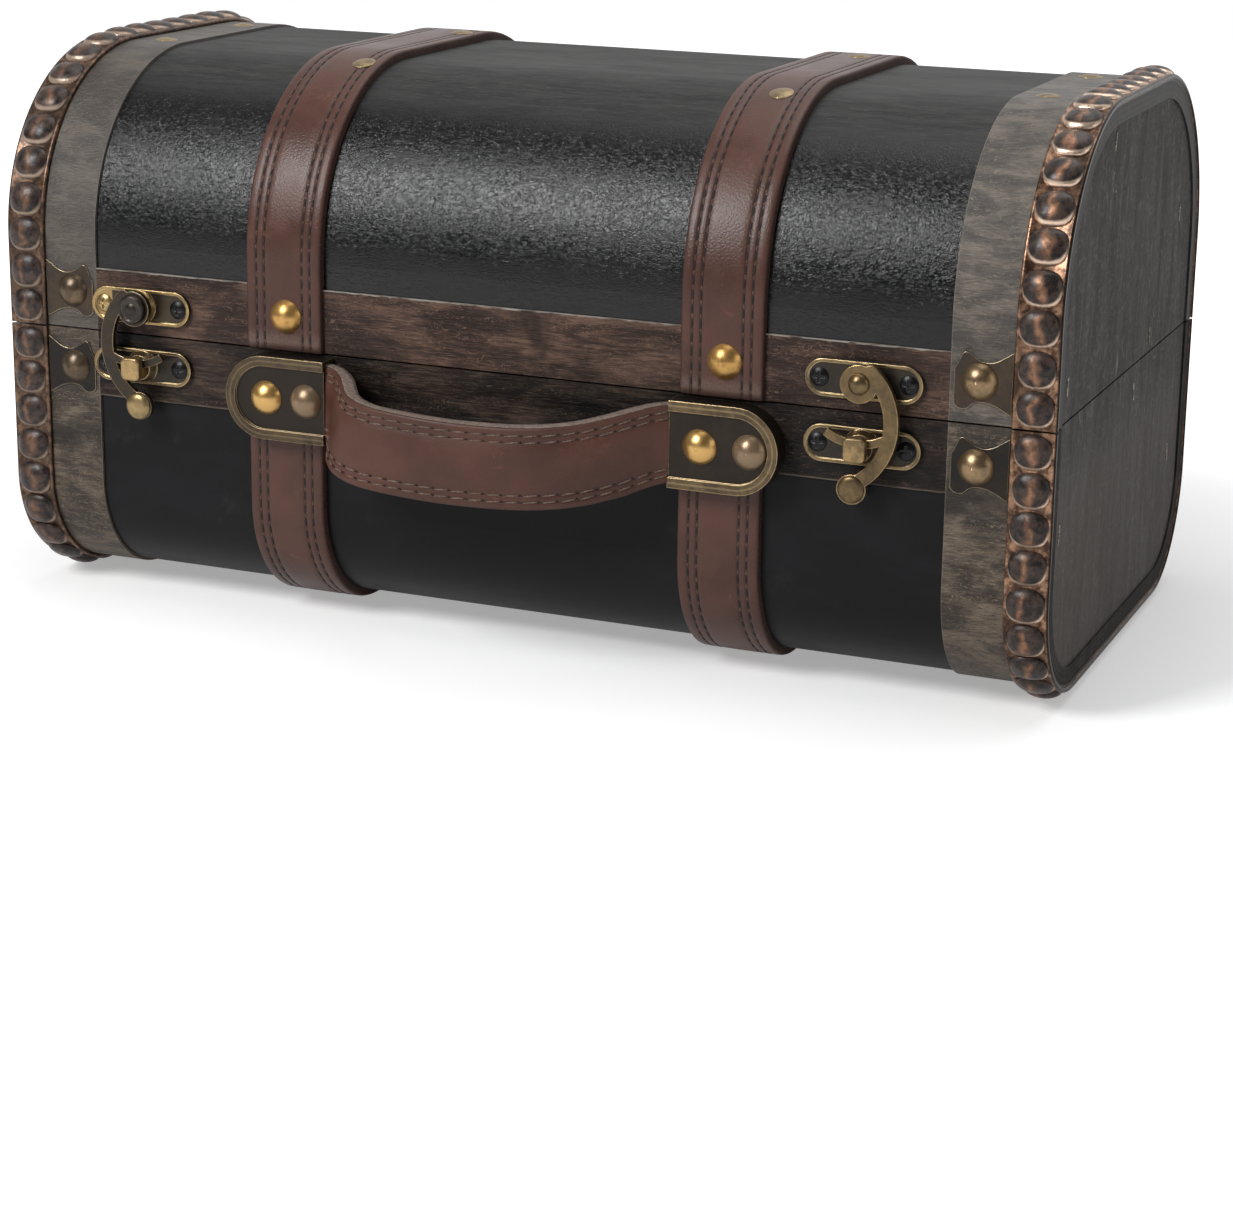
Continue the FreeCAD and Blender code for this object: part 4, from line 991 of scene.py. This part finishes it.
def between(values, index, share):
    """A smooth curve through four neighbouring values."""
    near = (values[max(0, min(len(values) - 1, index + step))] for step in (-1, 0, 1, 2))
    return [b + 0.5 * share * (c - a + share * (2 * a - 5 * b + 4 * c - d + share * (3 * (b - c) + d - a)))
            for a, b, c, d in zip(*near)]


handle_line = [between(handle_route, index, share)
               for index in range(len(handle_route) - 1) for share in (0.0, 0.2, 0.4, 0.6, 0.8)]
# Round the band, in shares of its half width and half thickness; the last value is 1 on raw edges
band_section = [
    (-1.0, -1.0, 1), (-1.0, -0.4, 1), (-1.0, 0.4, 1), (-0.985, 0.8, 1), (-0.95, 0.97, 0), (-0.9, 1.0, 0),
    (-0.82, 1.0, 0), (-0.795, 0.93, 0), (-0.77, 1.0, 0), (-0.66, 1.0, 0), (-0.635, 0.93, 0),
    (-0.61, 1.0, 0), (-0.3, 1.03, 0), (0.0, 1.04, 0)]
band_section += [(-width, depth, raw) for width, depth, raw in band_section[-2::-1]]
band_section += [(width, -1.0, 0) for width in (0.94, 0.5, 0.0, -0.5, -0.94)]
handle_join = min(range(len(handle_line)), key=lambda index: abs(handle_line[index][0] - 1.1))
# Of each half: the plate's mouth, and where the leather's bend starts and ends
handle_halves = (("left", -1, 51.8, -49.0, -30.0), ("right", 1, 54.0, 51.0, 32.0))
for side, way, mouth, bend_start, bend_end in handle_halves:
    rings, raw_marks, groove_shade_marks = [], [], []
    rows = {-0.795: [], -0.635: [], 0.635: [], 0.795: []}
    for index, (x, out, drop, lean) in enumerate(handle_line):
        past = abs(x) - (mouth + tab_straight)
        if (index - handle_join) * way < 0 or past > tab_round:
            continue
        before, after = handle_line[max(0, index - 1)], handle_line[min(len(handle_line) - 1, index + 1)]
        along = Vector((after[0] - before[0], before[1] - after[1], 0)).normalized()
        level = Vector((along.y, -along.x, 0))
        cos, sin = math.cos(math.radians(lean)), math.sin(math.radians(lean))
        middle = Vector((x, plate_y - out, handle_height - drop))
        outward, upward = level * cos + Vector((0, 0, sin)), Vector((0, 0, cos)) - level * sin
        free = min(1.0, max(0.0, out / full_at))
        full = handle_half_width + fuller_width * free
        thick = handle_half_thickness + fuller_thickness * free
        half = full if past < 0 else math.sqrt(max(1.0, full ** 2 - past ** 2))
        rings.append([(middle + upward * width * half + outward * depth * thick) * mm
                      for width, depth, raw in band_section])
        raw_marks += [float(raw) for width, depth, raw in band_section]
        # The handle's grooves get painted shade too
        groove_shade_marks += [0.7 if depth == 0.93 else 0.0 for width, depth, raw in band_section]
        if past < -seams_short:
            for width, row in rows.items():
                row.append(((middle + upward * width * half + outward * 0.98 * thick) * mm, outward))
    marks = {"side": raw_marks, "groove_shade": groove_shade_marks}
    band = lofted(side + "_handle_leather", rings, marks, handle_leather)
    band.data.materials.append(raw_edge)
    for face in band.data.polygons[:-2]:
        if all(band_section[vertex % len(band_section)][2] for vertex in face.vertices):
            face.material_index = 1
    thread = sewn(side + "_handle_stitches", rows.values(), grey_thread, 4.9, 4.3, 0.55, 0.5, 0.75, 0.07)
    for piece in (band, thread):
        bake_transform(piece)
        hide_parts(side + "_handle_tab", "handle_grip")

# Screws: small black wood screws with crossed slots, two in each clasp plate and hinge leaf. One
# of the left clasp's is gilded.

dress(patina_finish(
    "black_screw_steel", (0.012, 0.012, 0.0125), (0.03, 0.03, 0.031), (0.16, 0.155, 0.15),
    radius=0.25), "keeper_screws", "lid_hinge_screws", "base_hinge_screws")
dress(patina_finish(
    "latch_screw_steel", (0.012, 0.012, 0.0125), (0.44, 0.31, 0.14), (0.16, 0.155, 0.15),
    patina=1.3, radius=0.25, spots=((-140.0, -124.0, 1.0),)), "latch_screws")

# Clasps: cast brass swing hooks on pressed plates, gone dark in the fields and rubbed bright on
# the rims. The hook turns on a flat-headed rivet and its finger drops behind the keeper's knob.

rim_y = -82.1
hook_metal = patina_finish(
    "clasp_hook_brass", (0.08, 0.055, 0.03), (0.22, 0.15, 0.072), (0.7, 0.5, 0.25),
    rub=0.8, radius=0.6, gloss=0.28)
dress(patina_finish(
    "clasp_plate_metal", (0.017, 0.015, 0.014), (0.24, 0.17, 0.09), (0.8, 0.6, 0.32),
    rub=1.0, raised=rim_y), "right_latch_plate", "left_keeper_plate", "right_keeper_plate")
dress(patina_finish(
    "left_clasp_metal", (0.017, 0.015, 0.014), (0.36, 0.245, 0.11), (0.85, 0.63, 0.32),
    rub=1.0, spots=((-140.0, -124.5, 0.9),), raised=rim_y), "left_latch_plate")
dress(hook_metal, "right_hook", "right_latch_rivet")
dress(patina_finish(
    "left_hook_brass", (0.03, 0.024, 0.019), (0.075, 0.057, 0.038), (0.6, 0.46, 0.26),
    patina=0.54, rub=0.8, radius=0.5), "left_hook", "left_latch_rivet")
dress(patina_finish(
    "keeper_brass", (0.15, 0.103, 0.052), (0.46, 0.315, 0.145), (0.82, 0.61, 0.32),
    radius=0.6, gloss=0.28), "left_keeper_post", "right_keeper_post")
for name in ("left_hook", "right_hook", "left_keeper_post", "right_keeper_post"):
    joined = cad[name].modifiers.new("joined", "WELD")
    joined.merge_threshold = 0.002 * mm
    rounding = cad[name].modifiers.new("worn_round", "BEVEL")
    rounding.width = 0.5 * mm
    rounding.segments = 3
    rounding.angle_limit = math.radians(50)
    cad[name].modifiers.new("even_shading", "WEIGHTED_NORMAL")


def turned(name, x, z, profile, material, body):
    """A round piece facing the front, from its (radius, Y) pairs in millimetres."""
    corners = [turn * math.pi / 16 for turn in range(32)]
    rings = [[Vector((x + radius * math.cos(turn), y, z + radius * math.sin(turn))) * mm for turn in corners]
             for radius, y in profile]
    piece = lofted(name, rings, {}, material)
    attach(piece, body)


gilt_metal = patina_finish(
    "hook_button_brass", (0.16, 0.115, 0.06), (0.42, 0.3, 0.14), (0.8, 0.62, 0.34),
    radius=0.5, gloss=0.28)
collar_metal = patina_finish(
    "pivot_collar_bronze", (0.028, 0.024, 0.021), (0.09, 0.074, 0.058), (0.42, 0.35, 0.25),
    rub=0.8)
domed = ((4.0, -86.3), (4.05, -86.8), (3.8, -87.4), (3.1, -87.85), (2.0, -88.15), (0.6, -88.25))
flatter = ((3.7, -86.3), (3.7, -86.5), (3.2, -86.85), (2.2, -87.05), (0.7, -87.1))
collar = ((4.2, -86.5), (4.35, -87.0), (4.1, -87.75), (3.7, -88.1), (3.35, -88.05), (3.1, -87.7))
turned("left_hook_button", -113.6, 61.9, domed, gilt_metal, "left_hook")
turned("right_hook_button", 106.0, 61.9, flatter, hook_metal, "right_hook")
turned("left_pivot_collar", -114.8, 90.7, collar, collar_metal, "lid")

# Hinges: two folded brass butt hinges on the back rails, each turning on a steel pin.

dress(patina_finish(
    "hinge_brass", (0.075, 0.057, 0.036), (0.25, 0.19, 0.11), (0.7, 0.54, 0.3),
    patina=0.52, rub=0.9, gloss=0.34),
    "left_hinge_base_leaf", "right_hinge_base_leaf",
    "left_hinge_lid_leaf", "right_hinge_lid_leaf", "hinge_pins")
